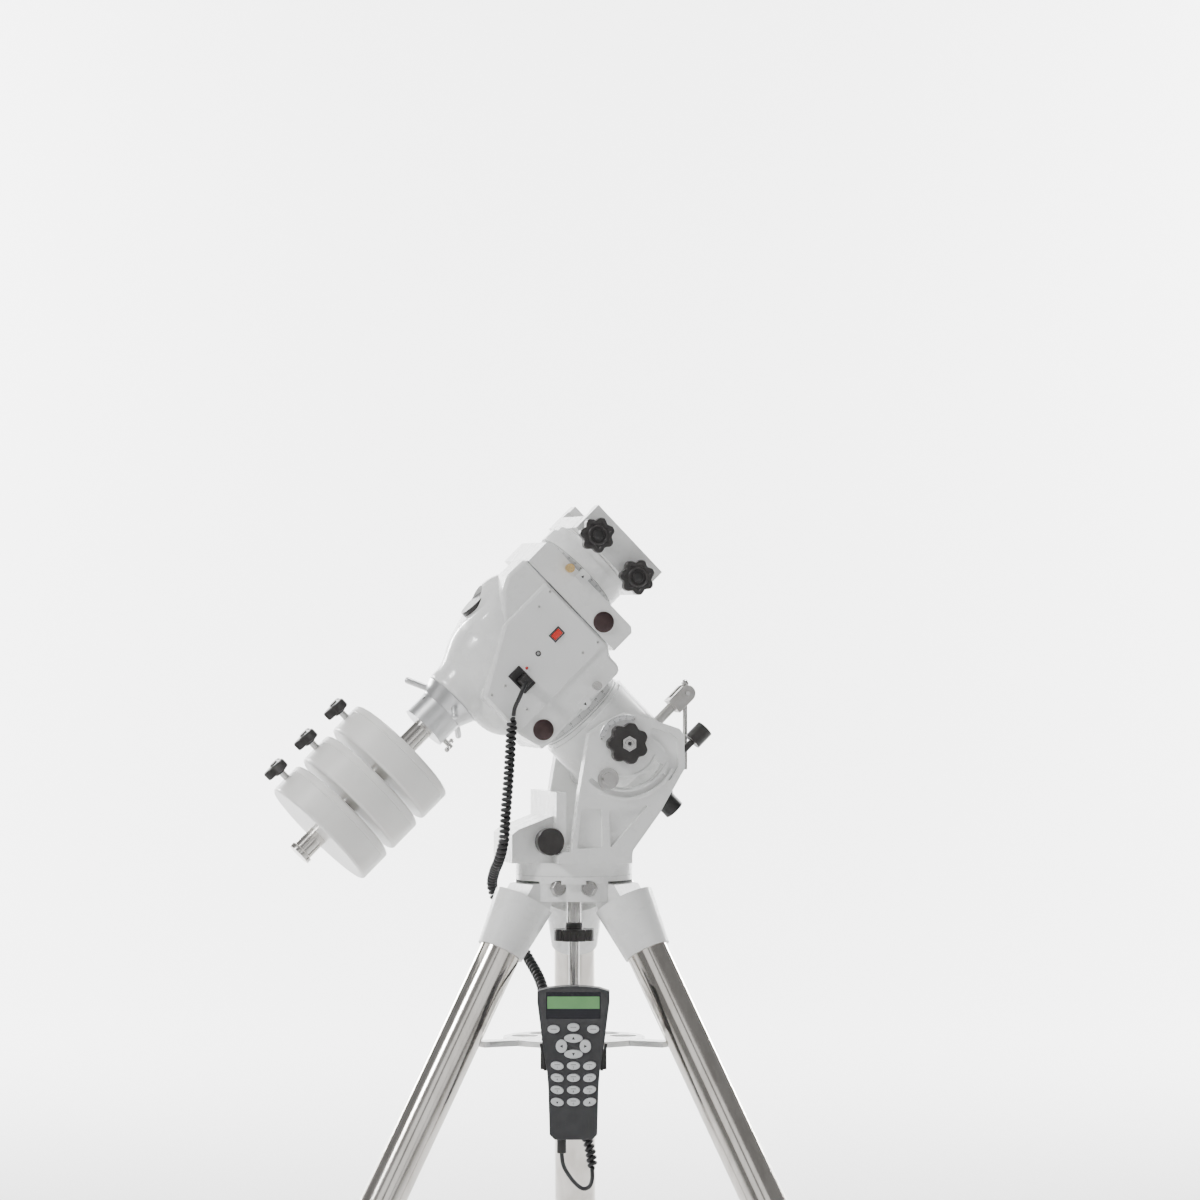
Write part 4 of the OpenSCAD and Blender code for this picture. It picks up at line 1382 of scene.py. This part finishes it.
@dataclass
class AzimuthHead:
    """Turning base with its two bracket plates, azimuth bolts and pivot knobs."""

    plate_out: float = 75.5
    pocket_deep: float = 5.0
    pockets: tuple = (
        ((-10.5, 848.0), (14.6, 845.0), (15.4, 799.0), (-16.0, 799.0)),
        ((22.8, 843.5), (40.0, 848.0), (72.0, 849.5), (25.0, 799.0)),
        ((74.0, 942.0), (101.0, 935.0), (108.0, 927.0), (109.0, 896.0), (98.0, 878.0),
         (92.0, 882.0), (97.0, 900.0), (94.0, 914.0), (84.0, 925.0), (74.0, 930.0)),
    )
    scale_in: float = 27.0
    scale_out: float = 34.0

    def build(self) -> None:
        """Builds the base and the parts that turn on it."""
        self._base()
        dressed("azimuth_bolts", HEAD, KNOB_PLASTIC, 0.8)
        self._pivot_knobs()

    def _pivot_knobs(self) -> None:
        """The two lobed knobs on the altitude pivot, with their bolts and nuts."""
        piece = Piece("pivot_knobs_skin", HEAD)
        for turn in (0.0, 180.0):
            place = moved(PIVOT_X, 0, PIVOT_Z) @ turned(turn, "Z") @ turned(90.0, "X")
            piece.paint(STEEL, piece.rod(8.0, 8.0, 41.5, 79.0, place, 40))
            out = place @ moved(0, 0, 76.5)
            knob = LobedKnob(25.0, 21.0, 7, 13.0, edge=2.2, dish=0.0)
            knob.draw(piece, out, KNOB_PLASTIC)
            hex_nut(piece, 9.5, 4.4, out @ moved(0, 0, 12.9), STEEL)
        piece.finish(None, slot="dark_plastic", stands_for=("pivot_knobs",))

    def _base(self) -> None:
        """The casting with the ribs and the altitude scale on its bracket plates."""
        piece = self._pocketed(Piece("azimuth_base_skin", HEAD).adopt("azimuth_base", 0.0))
        piece.soften(1.2, 3)
        piece.paint(CASTING)
        for mirror in (1.0, -1.0):
            self._ribs(piece, mirror)
        piece.finish(None, slot="white_casting", stands_for=("azimuth_base",))

    def _pocketed(self, piece: Piece) -> Piece:
        """Sinks the pockets into both bracket plates.

        Args:
            piece: the plain casting.
        Returns:
            The casting with its pockets.
        """
        cutters = Piece("pockets", HEAD)
        for mirror in (1.0, -1.0):
            face = self._face(mirror)
            for outline in self.pockets:
                before = set(cutters.bm.verts)
                cutters.plate(outline, -self.pocket_deep, 6.0)
                rims = [
                    e for e in cutters.bm.edges
                    if e.verts[0] not in before
                    and abs(e.verts[0].co.z - e.verts[1].co.z) > 1.0
                ]
                bmesh.ops.bevel(
                    cutters.bm, geom=rims, offset=3.0, offset_type="OFFSET", affect="EDGES",
                    segments=4, profile=0.5, material=-1, clamp_overlap=True,
                )
                faces = cutters.added(before, face)
                bmesh.ops.recalc_face_normals(cutters.bm, faces=faces)
            pivot = face @ moved(PIVOT_X, PIVOT_Z, 0)
            self._arc(cutters, pivot, 57.8, 63.6, -136.0, -38.0, 6.0, CASTING, -self.pocket_deep)
        solids = []
        for part in (piece, cutters):
            mesh = bpy.data.meshes.new(part.name)
            part.bm.to_mesh(mesh)
            part.bm.free()
            obj = bpy.data.objects.new(part.name, mesh)
            bpy.context.scene.collection.objects.link(obj)
            solids.append(obj)
        body, tool = solids
        cut = body.modifiers.new("Pockets", "BOOLEAN")
        cut.operation = "DIFFERENCE"
        cut.object = tool
        cut.solver = "EXACT"
        cut.use_self = True
        frozen(body, [tool])
        done = Piece(piece.name, HEAD)
        done.bm.from_mesh(body.data)
        bpy.data.objects.remove(body)
        bmesh.ops.remove_doubles(done.bm, verts=done.bm.verts, dist=0.01)
        bmesh.ops.dissolve_limit(
            done.bm, angle_limit=math.radians(1.0), verts=done.bm.verts, edges=done.bm.edges
        )
        return done

    def _face(self, mirror: float) -> Matrix:
        """The outer face of a bracket plate: x as before, y up, z outwards.

        Args:
            mirror: -1 for the front plate, 1 for the rear one.
        Returns:
            The place of the face.
        """
        if mirror < 0:
            return moved(0, -self.plate_out, 0) @ turned(90.0, "X")
        return moved(0, self.plate_out, 0) @ turned(90.0, "X") @ Matrix.Scale(-1, 4, (0, 0, 1))

    def _ribs(self, piece: Piece, mirror: float) -> None:
        """Slot rims, arch rib and altitude scale of one plate.

        Args:
            piece: the casting.
            mirror: -1.0 for the plate at the switch side, 1.0 for the other.
        """
        face = self._face(mirror)
        pivot = face @ moved(PIVOT_X, PIVOT_Z, 0)
        for r_in, r_out, start, end, tall in (
            (37.6, 40.2, -132.0, -22.0, 1.4), (54.4, 57.0, -130.0, -24.0, 1.4),
            (64.0, 67.5, -118.0, -28.0, 2.0),
        ):
            self._arc(piece, pivot, r_in, r_out, start, end, tall, CASTING)
        self._arc(piece, pivot, self.scale_in, self.scale_out, 72.0, 168.0, 0.7, ALUMINIUM)
        for i in range(31):
            angle = 74.0 + 3.0 * i
            deep = 2.8 if i % 5 == 0 else 1.6
            tick = piece.block(
                (self.scale_out - 0.5 - deep, -0.16, 0.5), (self.scale_out - 0.5, 0.16, 0.86),
                pivot @ turned(angle, "Z"),
            )
            piece.paint(INK, tick)
            if i % 5 == 0:
                turn = pivot @ turned(angle - 90.0, "Z")

                def bend(x: float, y: float) -> Vector:
                    """A point of the figures on the scale."""
                    return turn @ Vector((x, self.scale_in + 1.8 + y, 0.82))

                lettered(piece, str(90 - 3 * i), 2.1, bend, INK)
        for angle in (70.5, 169.5):
            place = pivot @ turned(angle, "Z") @ moved((self.scale_in + self.scale_out) / 2, 0, 0)
            cross_screw(piece, 2.0, place, PALE_SCREW)

    def _arc(
        self, piece: Piece, pivot: Matrix, r_in: float, r_out: float, start: float, end: float,
        tall: float, finish: Finish, foot: float = -0.2,
    ) -> None:
        """A raised strip that runs round the pivot.

        Args:
            piece: the piece that takes it in.
            pivot: the place of the pivot on the face.
            r_in: its inner radius.
            r_out: its outer radius.
            start: where it begins, in degrees.
            end: where it ends, in degrees.
            tall: its height.
            finish: its finish.
            foot: how far it stands in the face.
        """
        before = set(piece.bm.verts)
        edge = min(0.5, tall / 3)
        profile = [
            (r_in, foot), (r_in, tall - edge), (r_in + edge, tall), (r_out - edge, tall),
            (r_out, tall - edge), (r_out, foot),
        ]
        a = math.radians(start)
        verts = [
            piece.bm.verts.new((r * math.cos(a), r * math.sin(a), z)) for r, z in profile
        ]
        edges = [
            piece.bm.edges.new(pair) for pair in zip(verts, verts[1:] + verts[:1])
        ]
        bmesh.ops.spin(
            piece.bm, geom=verts + edges, axis=(0, 0, 1), cent=(0, 0, 0),
            steps=max(6, int((end - start) / 3)), angle=math.radians(end - start),
        )
        piece.cap(before)
        faces = piece.added(before, pivot)
        bmesh.ops.recalc_face_normals(piece.bm, faces=faces)
        piece.paint(finish, faces)


# ---------------------------------------------------------------------------
# Polar axis
# ---------------------------------------------------------------------------


@dataclass
class PolarAxis:
    """Housing of the polar shaft with its altitude screw, locks, finder scope and hour circle."""

    ring_r: float = 55.0
    ring_low: float = -123.3
    ring_high: float = -111.5

    def build(self) -> None:
        """Builds the polar axis from the housing outwards."""
        dressed("ra_housing", POLAR, CASTING, 1.6, 3)
        dressed("slot_bolts", POLAR, STEEL, 0.5)
        dressed("altitude_screw", POLAR, CAST_STEEL, 0.8, 3)
        dressed("altitude_handle", POLAR, STEEL, 0.4)
        dressed("axis_lock_knob", POLAR, KNOB_PLASTIC, 0.8)
        dressed("polar_scope", POLAR, BLACK_PLASTIC, 0.6)
        self._circle()

    def _circle(self) -> None:
        """The hour circle, graduated round its rim."""
        piece = Piece("ra_circle_skin", POLAR).adopt("ra_circle").soften(0.6, 2)
        piece.paint(CASTING)
        hours = [str(h) for h in range(24)]
        DialRing(
            self.ring_r, self.ring_low + 2.2, self.ring_high - 1.2, 144, hours, long_every=6
        ).draw(piece, GREY_PLASTIC, INK)
        piece.finish(None, slot="white_casting", stands_for=("ra_circle",))


# ---------------------------------------------------------------------------
# Head casting
# ---------------------------------------------------------------------------


@dataclass
class HeadCasting:
    """The head that turns on the polar axis, with its control panel and covers."""

    screws: tuple = (
        (62.2, 18.0), (40.1, 14.4), (61.8, -65.9), (39.9, -62.3), (-55.0, -23.4),
        (-74.1, -19.5), (-55.6, -61.8),
    )
    panel_y: float = -62.0
    foot: float = -111.2
    voxel: float = 2.0
    fillet_passes: int = 14
    neck: tuple = (
        (0.0, -103.0), (37.4, -103.0), (37.8, -90.0), (40.0, -78.0), (47.0, -65.0), (53.5, -52.0),
        (57.0, -38.0), (58.4, -20.0), (58.4, 62.0), (57.0, 69.5), (0.0, 69.5),
    )
    barrel: tuple = (
        (0.0, -111.2), (57.0, -111.2), (57.0, 20.0), (55.0, 38.0), (47.0, 51.0), (34.0, 57.6),
        (24.0, 58.5), (0.0, 58.5),
    )
    bulges: tuple = (
        ((-48.0, 0.0, -44.0), (52.0, 55.0, 50.0)), ((-20.0, 0.0, -60.0), (66.0, 57.0, 60.0)),
        ((20.0, 0.0, 10.0), (56.0, 56.0, 62.0)),
    )
    front_plates: tuple = (
        (((68.5, 29.5), (69.8, -77.0), (62.0, -90.0), (62.0, -105.0), (56.0, -111.2),
          (-68.0, -111.2), (-75.0, -104.0), (-82.0, -78.0), (-82.5, -15.0), (-4.5, 29.5)),
         10.0, 60.0, 5.0),
        (((-4.5, 29.5), (22.0, 58.0), (39.0, 67.0), (69.8, 66.0), (69.8, 20.0), (0.0, 20.0)),
         8.0, 57.0, 7.0),
    )
    led: tuple[float, float] = (-21.2, -26.8)
    port: tuple[float, float] = (0.8, -24.4)
    rocker: tuple[float, float, float, float] = (25.8, -28.6, 39.8, -19.4)
    rocker_rim: float = 1.2

    def build(self) -> None:
        """Builds the castings, the panel and what is fitted to them."""
        dressed("ra_shaft", POLAR, HARD_STEEL, 0.4)
        self._housing()
        dressed("dec_block", POLAR, CASTING, 2.2, 4)
        dressed("worm_caps", POLAR, BROWN_METAL, 0.4)
        dressed("worm_wheels", POLAR, BRASS, 0.2)
        dressed("worms", POLAR, HARD_STEEL, 0.2)
        dressed("socket_block", POLAR, BLACK_PLASTIC, 0.6)
        dressed("power_switch", POLAR, RED_PLASTIC, 0.6, 3)
        dressed("mount_plug", POLAR, BLACK_PLASTIC, 0.8, 3)
        dressed("polar_port_cap", POLAR, KNOB_PLASTIC, 0.8, 3)
        dressed("ra_circle_screw", POLAR, STEEL, 0.4)
        dressed("dec_circle_screw", POLAR, BRASS, 0.4)
        self._panel()
        self._tags()

    def _housing(self) -> None:
        """The cast housing: round parts that flow together, and a flat front that stands proud."""
        blend = Piece("main_housing_skin", POLAR)
        blend.lathe(self.neck, 72, turned(90.0, "Y"))
        blend.lathe(self.barrel, 72)
        for place, size in self.bulges:
            blend.ball(1.0, moved(*place) @ Matrix.Diagonal((*size, 1.0)))
        blend.block((-74.0, -55.0, self.foot), (60.0, 55.0, -82.0))
        obj = blend.finish(CASTING, stands_for=("main_housing",), weigh=False)
        remesh = obj.modifiers.new("Cast Skin", "REMESH")
        remesh.mode = "VOXEL"
        remesh.voxel_size = self.voxel * MM
        flow = obj.modifiers.new("Cast Fillets", "SMOOTH")
        flow.factor = 0.5
        flow.iterations = self.fillet_passes
        bores = Piece("bores", POLAR)
        bores.rod(27.2, 27.2, -140.0, 110.0, turned(90.0, "Y"), 64)
        bores.rod(18.6, 18.6, 35.0, 80.0, None, 64)
        bores.block((-140.0, -90.0, -140.0), (110.0, 90.0, self.foot))
        bores.bm.transform(Matrix.Scale(MM, 4) @ POLAR)
        mesh = bpy.data.meshes.new("bores")
        bores.bm.to_mesh(mesh)
        bores.bm.free()
        cutter = bpy.data.objects.new("bores", mesh)
        bpy.context.scene.collection.objects.link(cutter)
        cut = obj.modifiers.new("Bores", "BOOLEAN")
        cut.operation = "DIFFERENCE"
        cut.object = cutter
        frozen(obj, [cutter])
        obj.data.polygons.foreach_set("use_smooth", [True] * len(obj.data.polygons))
        obj.data.set_sharp_from_angle(angle=math.radians(40.0))
        front = Piece("housing_front", POLAR)
        face = turned(90.0, "X")
        for outline, low, high, edge in self.front_plates:
            before = set(front.bm.verts)
            front.plate(outline, low, high)
            rims = [
                e for e in front.bm.edges
                if e.verts[0] not in before and (
                    all(v.co.z > high - 0.01 for v in e.verts)
                    or abs(e.verts[0].co.z - e.verts[1].co.z) > 1.0
                )
            ]
            bmesh.ops.bevel(
                front.bm, geom=rims, offset=edge, offset_type="OFFSET", affect="EDGES",
                segments=5, profile=0.5, material=-1, clamp_overlap=True,
            )
            front.added(before, face)
        front.finish(CASTING, body="head")

    def _tags(self) -> None:
        """The two white pointer tags in front of the circles."""
        piece = Piece("pointer_tags", POLAR)
        front = turned(90.0, "X")
        tags = ((moved(102.5, -60.0, 2.0), -90.0, 9.0), (moved(0.0, -60.0, -106.5), 180.0, 6.5))
        for place, turn, reach in tags:
            to = place @ front @ turned(turn, "Z")
            before = set(piece.bm.verts)
            piece.plate([(-7.5, -5.5), (7.5, -5.5), (7.5, reach - 2), (5.5, reach),
                         (-5.5, reach), (-7.5, reach - 2)], 0.0, 1.1)
            edges = [
                e for e in piece.bm.edges
                if e.verts[0] not in before and all(v.co.z > 1.0 for v in e.verts)
            ]
            bmesh.ops.bevel(
                piece.bm, geom=edges, offset=0.3, offset_type="OFFSET", affect="EDGES",
                segments=2, profile=0.5, material=-1, clamp_overlap=True,
            )
            piece.paint(PANEL_PAINT, piece.added(before, to))
            arrow = piece.plate([(-1.8, 0.0), (1.8, 0.0), (0.0, 3.8)], 1.0, 1.16, to)
            piece.paint(INK, arrow)
        piece.finish(None, slot="panel_paint", body="head")

    def _panel(self) -> None:
        """The control panel with its outline, screws, port and indicator."""
        piece = Piece("control_panel_skin", POLAR).adopt("control_panel").soften(0.5, 2)
        piece.paint(PANEL_PAINT)
        face = moved(0, self.panel_y, 0) @ turned(90.0, "X")
        for s, t in self.screws:
            cross_screw(piece, 2.1, face @ moved(s, t, 0), PALE_SCREW)
        lens = [(1.9, 0.0), (1.9, 0.5), (1.5, 1.2), (0.8, 1.6), (0.0, 1.7)]
        piece.paint(LED_RED, piece.lathe(lens, 24, face @ moved(*self.led, 0)))
        rim = [(3.4, 0.0), (3.4, 0.5), (3.0, 0.8), (2.2, 0.8), (2.0, 0.5), (2.0, 0.0)]
        piece.paint(BLACK_PLASTIC, piece.lathe(rim, 32, face @ moved(*self.port, 0)))
        s0, t0, s1, t1 = self.rocker
        wide = self.rocker_rim
        for low, high in (
            ((s0 - wide, t0 - wide, 0.0), (s0, t1 + wide, 1.3)),
            ((s1, t0 - wide, 0.0), (s1 + wide, t1 + wide, 1.3)),
            ((s0, t0 - wide, 0.0), (s1, t0, 1.3)),
            ((s0, t1, 0.0), (s1, t1 + wide, 1.3)),
        ):
            piece.paint(BLACK_PLASTIC, piece.block(low, high, face))
        piece.finish(None, slot="panel_paint", stands_for=("control_panel",))


# ---------------------------------------------------------------------------
# Declination end
# ---------------------------------------------------------------------------


@dataclass
class DeclinationEnd:
    """Declination circle, dovetail saddle, clutch ring and shaft socket."""

    ring_r: float = 55.0
    ring_low: float = 105.3
    ring_high: float = 112.2
    knob_s: float = 147.0

    def build(self) -> None:
        """Builds the parts along the declination axis."""
        dressed("dec_shaft", DEC, HARD_STEEL, 0.4)
        dressed("saddle", DEC, CASTING, 1.6, 3)
        dressed("saddle_jaw", DEC, CASTING, 1.2, 3)
        saddle_hand_knob("saddle_knob_upper_skin", "saddle_knob_upper", self.knob_s, 29.0)
        saddle_hand_knob("saddle_knob_lower_skin", "saddle_knob_lower", self.knob_s, -41.0)
        dressed("lock_ring", DEC, ALUMINIUM, 0.8, 3)
        dressed("shaft_socket", DEC, ALUMINIUM, 1.0, 3)
        dressed("socket_screw", DEC, STEEL, 0.4)
        piece = Piece("dec_circle_skin", DEC).adopt("dec_circle").soften(0.5, 2)
        piece.paint(CASTING)
        figures = [str(d) for d in (*range(0, 90, 10), *range(90, 0, -10))]
        DialRing(
            self.ring_r, self.ring_low + 0.8, self.ring_high - 0.6, 180, figures * 2, long_every=5
        ).draw(piece, GREY_PLASTIC, INK)
        piece.finish(None, slot="white_casting", stands_for=("dec_circle",))


# ---------------------------------------------------------------------------
# Counterweights
# ---------------------------------------------------------------------------


@dataclass
class Counterweights:
    """The counterweight bar and its three clamped weights."""

    centres: tuple[float, float, float] = (-309.3, -259.0, -208.5)

    def build(self) -> None:
        """Builds the bar, the weights and their knobs."""
        dressed("counterweight_shaft", DEC, HARD_STEEL, 0.8, 3)
        for i in (1, 2, 3):
            dressed(f"counterweight_{i}", DEC, WEIGHT_PAINT, 2.0, 4)
            weight_hand_knob(f"weight_knob_{i}", self.centres[i - 1])


# ---------------------------------------------------------------------------
# Hand control
# ---------------------------------------------------------------------------


@dataclass
class HandControl:
    """The hand control in its cradle: shell, display, keys and holder."""

    front: float = -132.0
    back: float = -104.0
    face_deep: float = 1.5
    bezel: tuple[float, float, float, float] = (-31.8, 602.2, 31.8, 633.2)
    display: tuple[float, float, float, float] = (-30.6, 613.8, 30.6, 628.2)
    key_top: float = -133.6
    columns: tuple[float, float, float] = (-19.0, 0.0, 19.0)
    rows: tuple[float, float, float, float] = (504.5, 518.7, 532.9, 547.1)
    cluster: float = 570.0
    menu: tuple[tuple[float, float], ...] = ((-23.2, 590.0), (0.0, 592.2), (23.2, 590.0))

    def build(self) -> None:
        """Builds the shell, its keys and the cradle."""
        dressed("handset_cradle", STAND, BLACK_PLASTIC, 0.6, 3)
        self._shell()
        self._keys()

    def _front(self, x: float, y: float, z: float) -> Matrix:
        """A place on the front, with y up and z out of it."""
        return moved(x, y, z) @ turned(90.0, "X")

    def _shell(self) -> None:
        """The textured shell with its glossy bezel and green display."""
        piece = Piece("handset_shell_skin", STAND).adopt("handset_shell")
        piece.soften(2.6, 4, keep=self._outer)
        piece.soften(0.35, 2)
        piece.paint(HANDSET_PLASTIC)
        floor = self.front + self.face_deep
        place = self._front(0, floor, 0)
        for area, low, high, finish in (
            (self.bezel, 0.0, 0.75, GLOSS_BLACK), (self.display, 0.7, 0.95, LCD),
        ):
            faces = piece.block((area[0], area[1], low), (area[2], area[3], high), place)
            piece.paint(finish, faces)
        for x in (-18.0, -9.0, 9.0, 18.0):
            faces = piece.block((x - 0.2, 470.0, -0.1), (x + 0.2, 488.0, 0.12),
                                self._front(0, self.front, 0))
            piece.paint(INK, faces)
        piece.finish(None, slot="dark_plastic", stands_for=("handset_shell",))

    def _outer(self, edge: bmesh.types.BMEdge) -> bool:
        """Whether an edge runs round the front or back outline of the shell.

        Args:
            edge: the edge.
        Returns:
            True for an outline edge.
        """
        ends = [v.co for v in edge.verts]
        if not all(abs(p.y - self.front) < 0.05 or abs(p.y - self.back) < 0.05 for p in ends):
            return False
        wide = min(abs(p.x) for p in ends) > 28.0 and not 601.0 < ends[0].z < 634.0
        side = all(abs(p.x) > 32.5 for p in ends)
        return wide or side or max(p.z for p in ends) < 467.0 or min(p.z for p in ends) > 633.9

    def _keys(self) -> None:
        """The pale keys with their small marks."""
        piece = Piece("handset_keys_skin", STAND).adopt("handset_keys").soften(0.7, 3)
        piece.paint(KEY_PLASTIC)
        for x, z in self.menu:
            self._bars(piece, x, z, ((0.0, 7.0),))
        for turn in (0.0, 90.0, 180.0, 270.0):
            reach = 9.3 if turn in (0.0, 180.0) else 14.0
            place = self._front(0, self.key_top, self.cluster) @ turned(turn, "Z")
            arrow = piece.plate(
                [(-1.9, reach - 1.5), (1.9, reach - 1.5), (0.0, reach + 2.1)], -0.1, 0.06, place
            )
            piece.paint(INK, arrow)
        figures = iter("1234567890")
        for row, z in enumerate(reversed(self.rows)):
            for x in self.columns:
                last = row == len(self.rows) - 1
                if last and x != 0.0:
                    place = self._front(x, self.key_top, z - 0.6)
                    turn = turned(180.0 if x < 0.0 else 0.0, "Z")
                    mark = piece.plate([(-1.5, -1.1), (1.5, -1.1), (0.0, 1.6)], -0.1, 0.06,
                                       place @ turn)
                    piece.paint(INK, mark)
                    continue
                self._bars(piece, x, z + 1.3, ((0.0, 6.4),))
                self._figure(piece, next(figures), x, z - 2.0)
        piece.finish(None, slot="key_plastic", stands_for=("handset_keys",))

    def _bars(
        self, piece: Piece, x: float, z: float, bars: Sequence[tuple[float, float]]
    ) -> None:
        """Small printed bars that stand for the label of a key.

        Args:
            piece: the piece that takes them in.
            x: the key's middle across the hand control.
            z: the key's middle, up.
            bars: the height and width of each bar.
        """
        for up, wide in bars:
            faces = piece.block(
                (-wide / 2, up - 0.45, -0.1), (wide / 2, up + 0.45, 0.05),
                self._front(x, self.key_top, z),
            )
            piece.paint(PALE_INK, faces)

    def _figure(self, piece: Piece, text: str, x: float, z: float) -> None:
        """One small figure printed on a key.

        Args:
            piece: the piece that takes it in.
            text: the figure.
            x: the key's middle across the hand control.
            z: the key's middle, up.
        """
        place = self._front(x, self.key_top - 0.04, z)

        def bend(across: float, up: float) -> Vector:
            """A point of the figure on the key."""
            return place @ Vector((across, up, 0.0))

        lettered(piece, text, 2.6, bend, INK)


def main() -> None:
    """Builds the mount piece by piece, in order."""
    logging.basicConfig(level=logging.INFO, format="%(message)s")
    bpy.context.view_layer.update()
    Studio().build()
    plug = dressed("handset_plug", STAND, BLACK_PLASTIC, 0.6)
    CoiledCord().build(plug)
    Tripod().build()
    AzimuthHead().build()
    PolarAxis().build()
    HeadCasting().build()
    DeclinationEnd().build()
    Counterweights().build()
    HandControl().build()


if __name__ == "__main__":
    main()
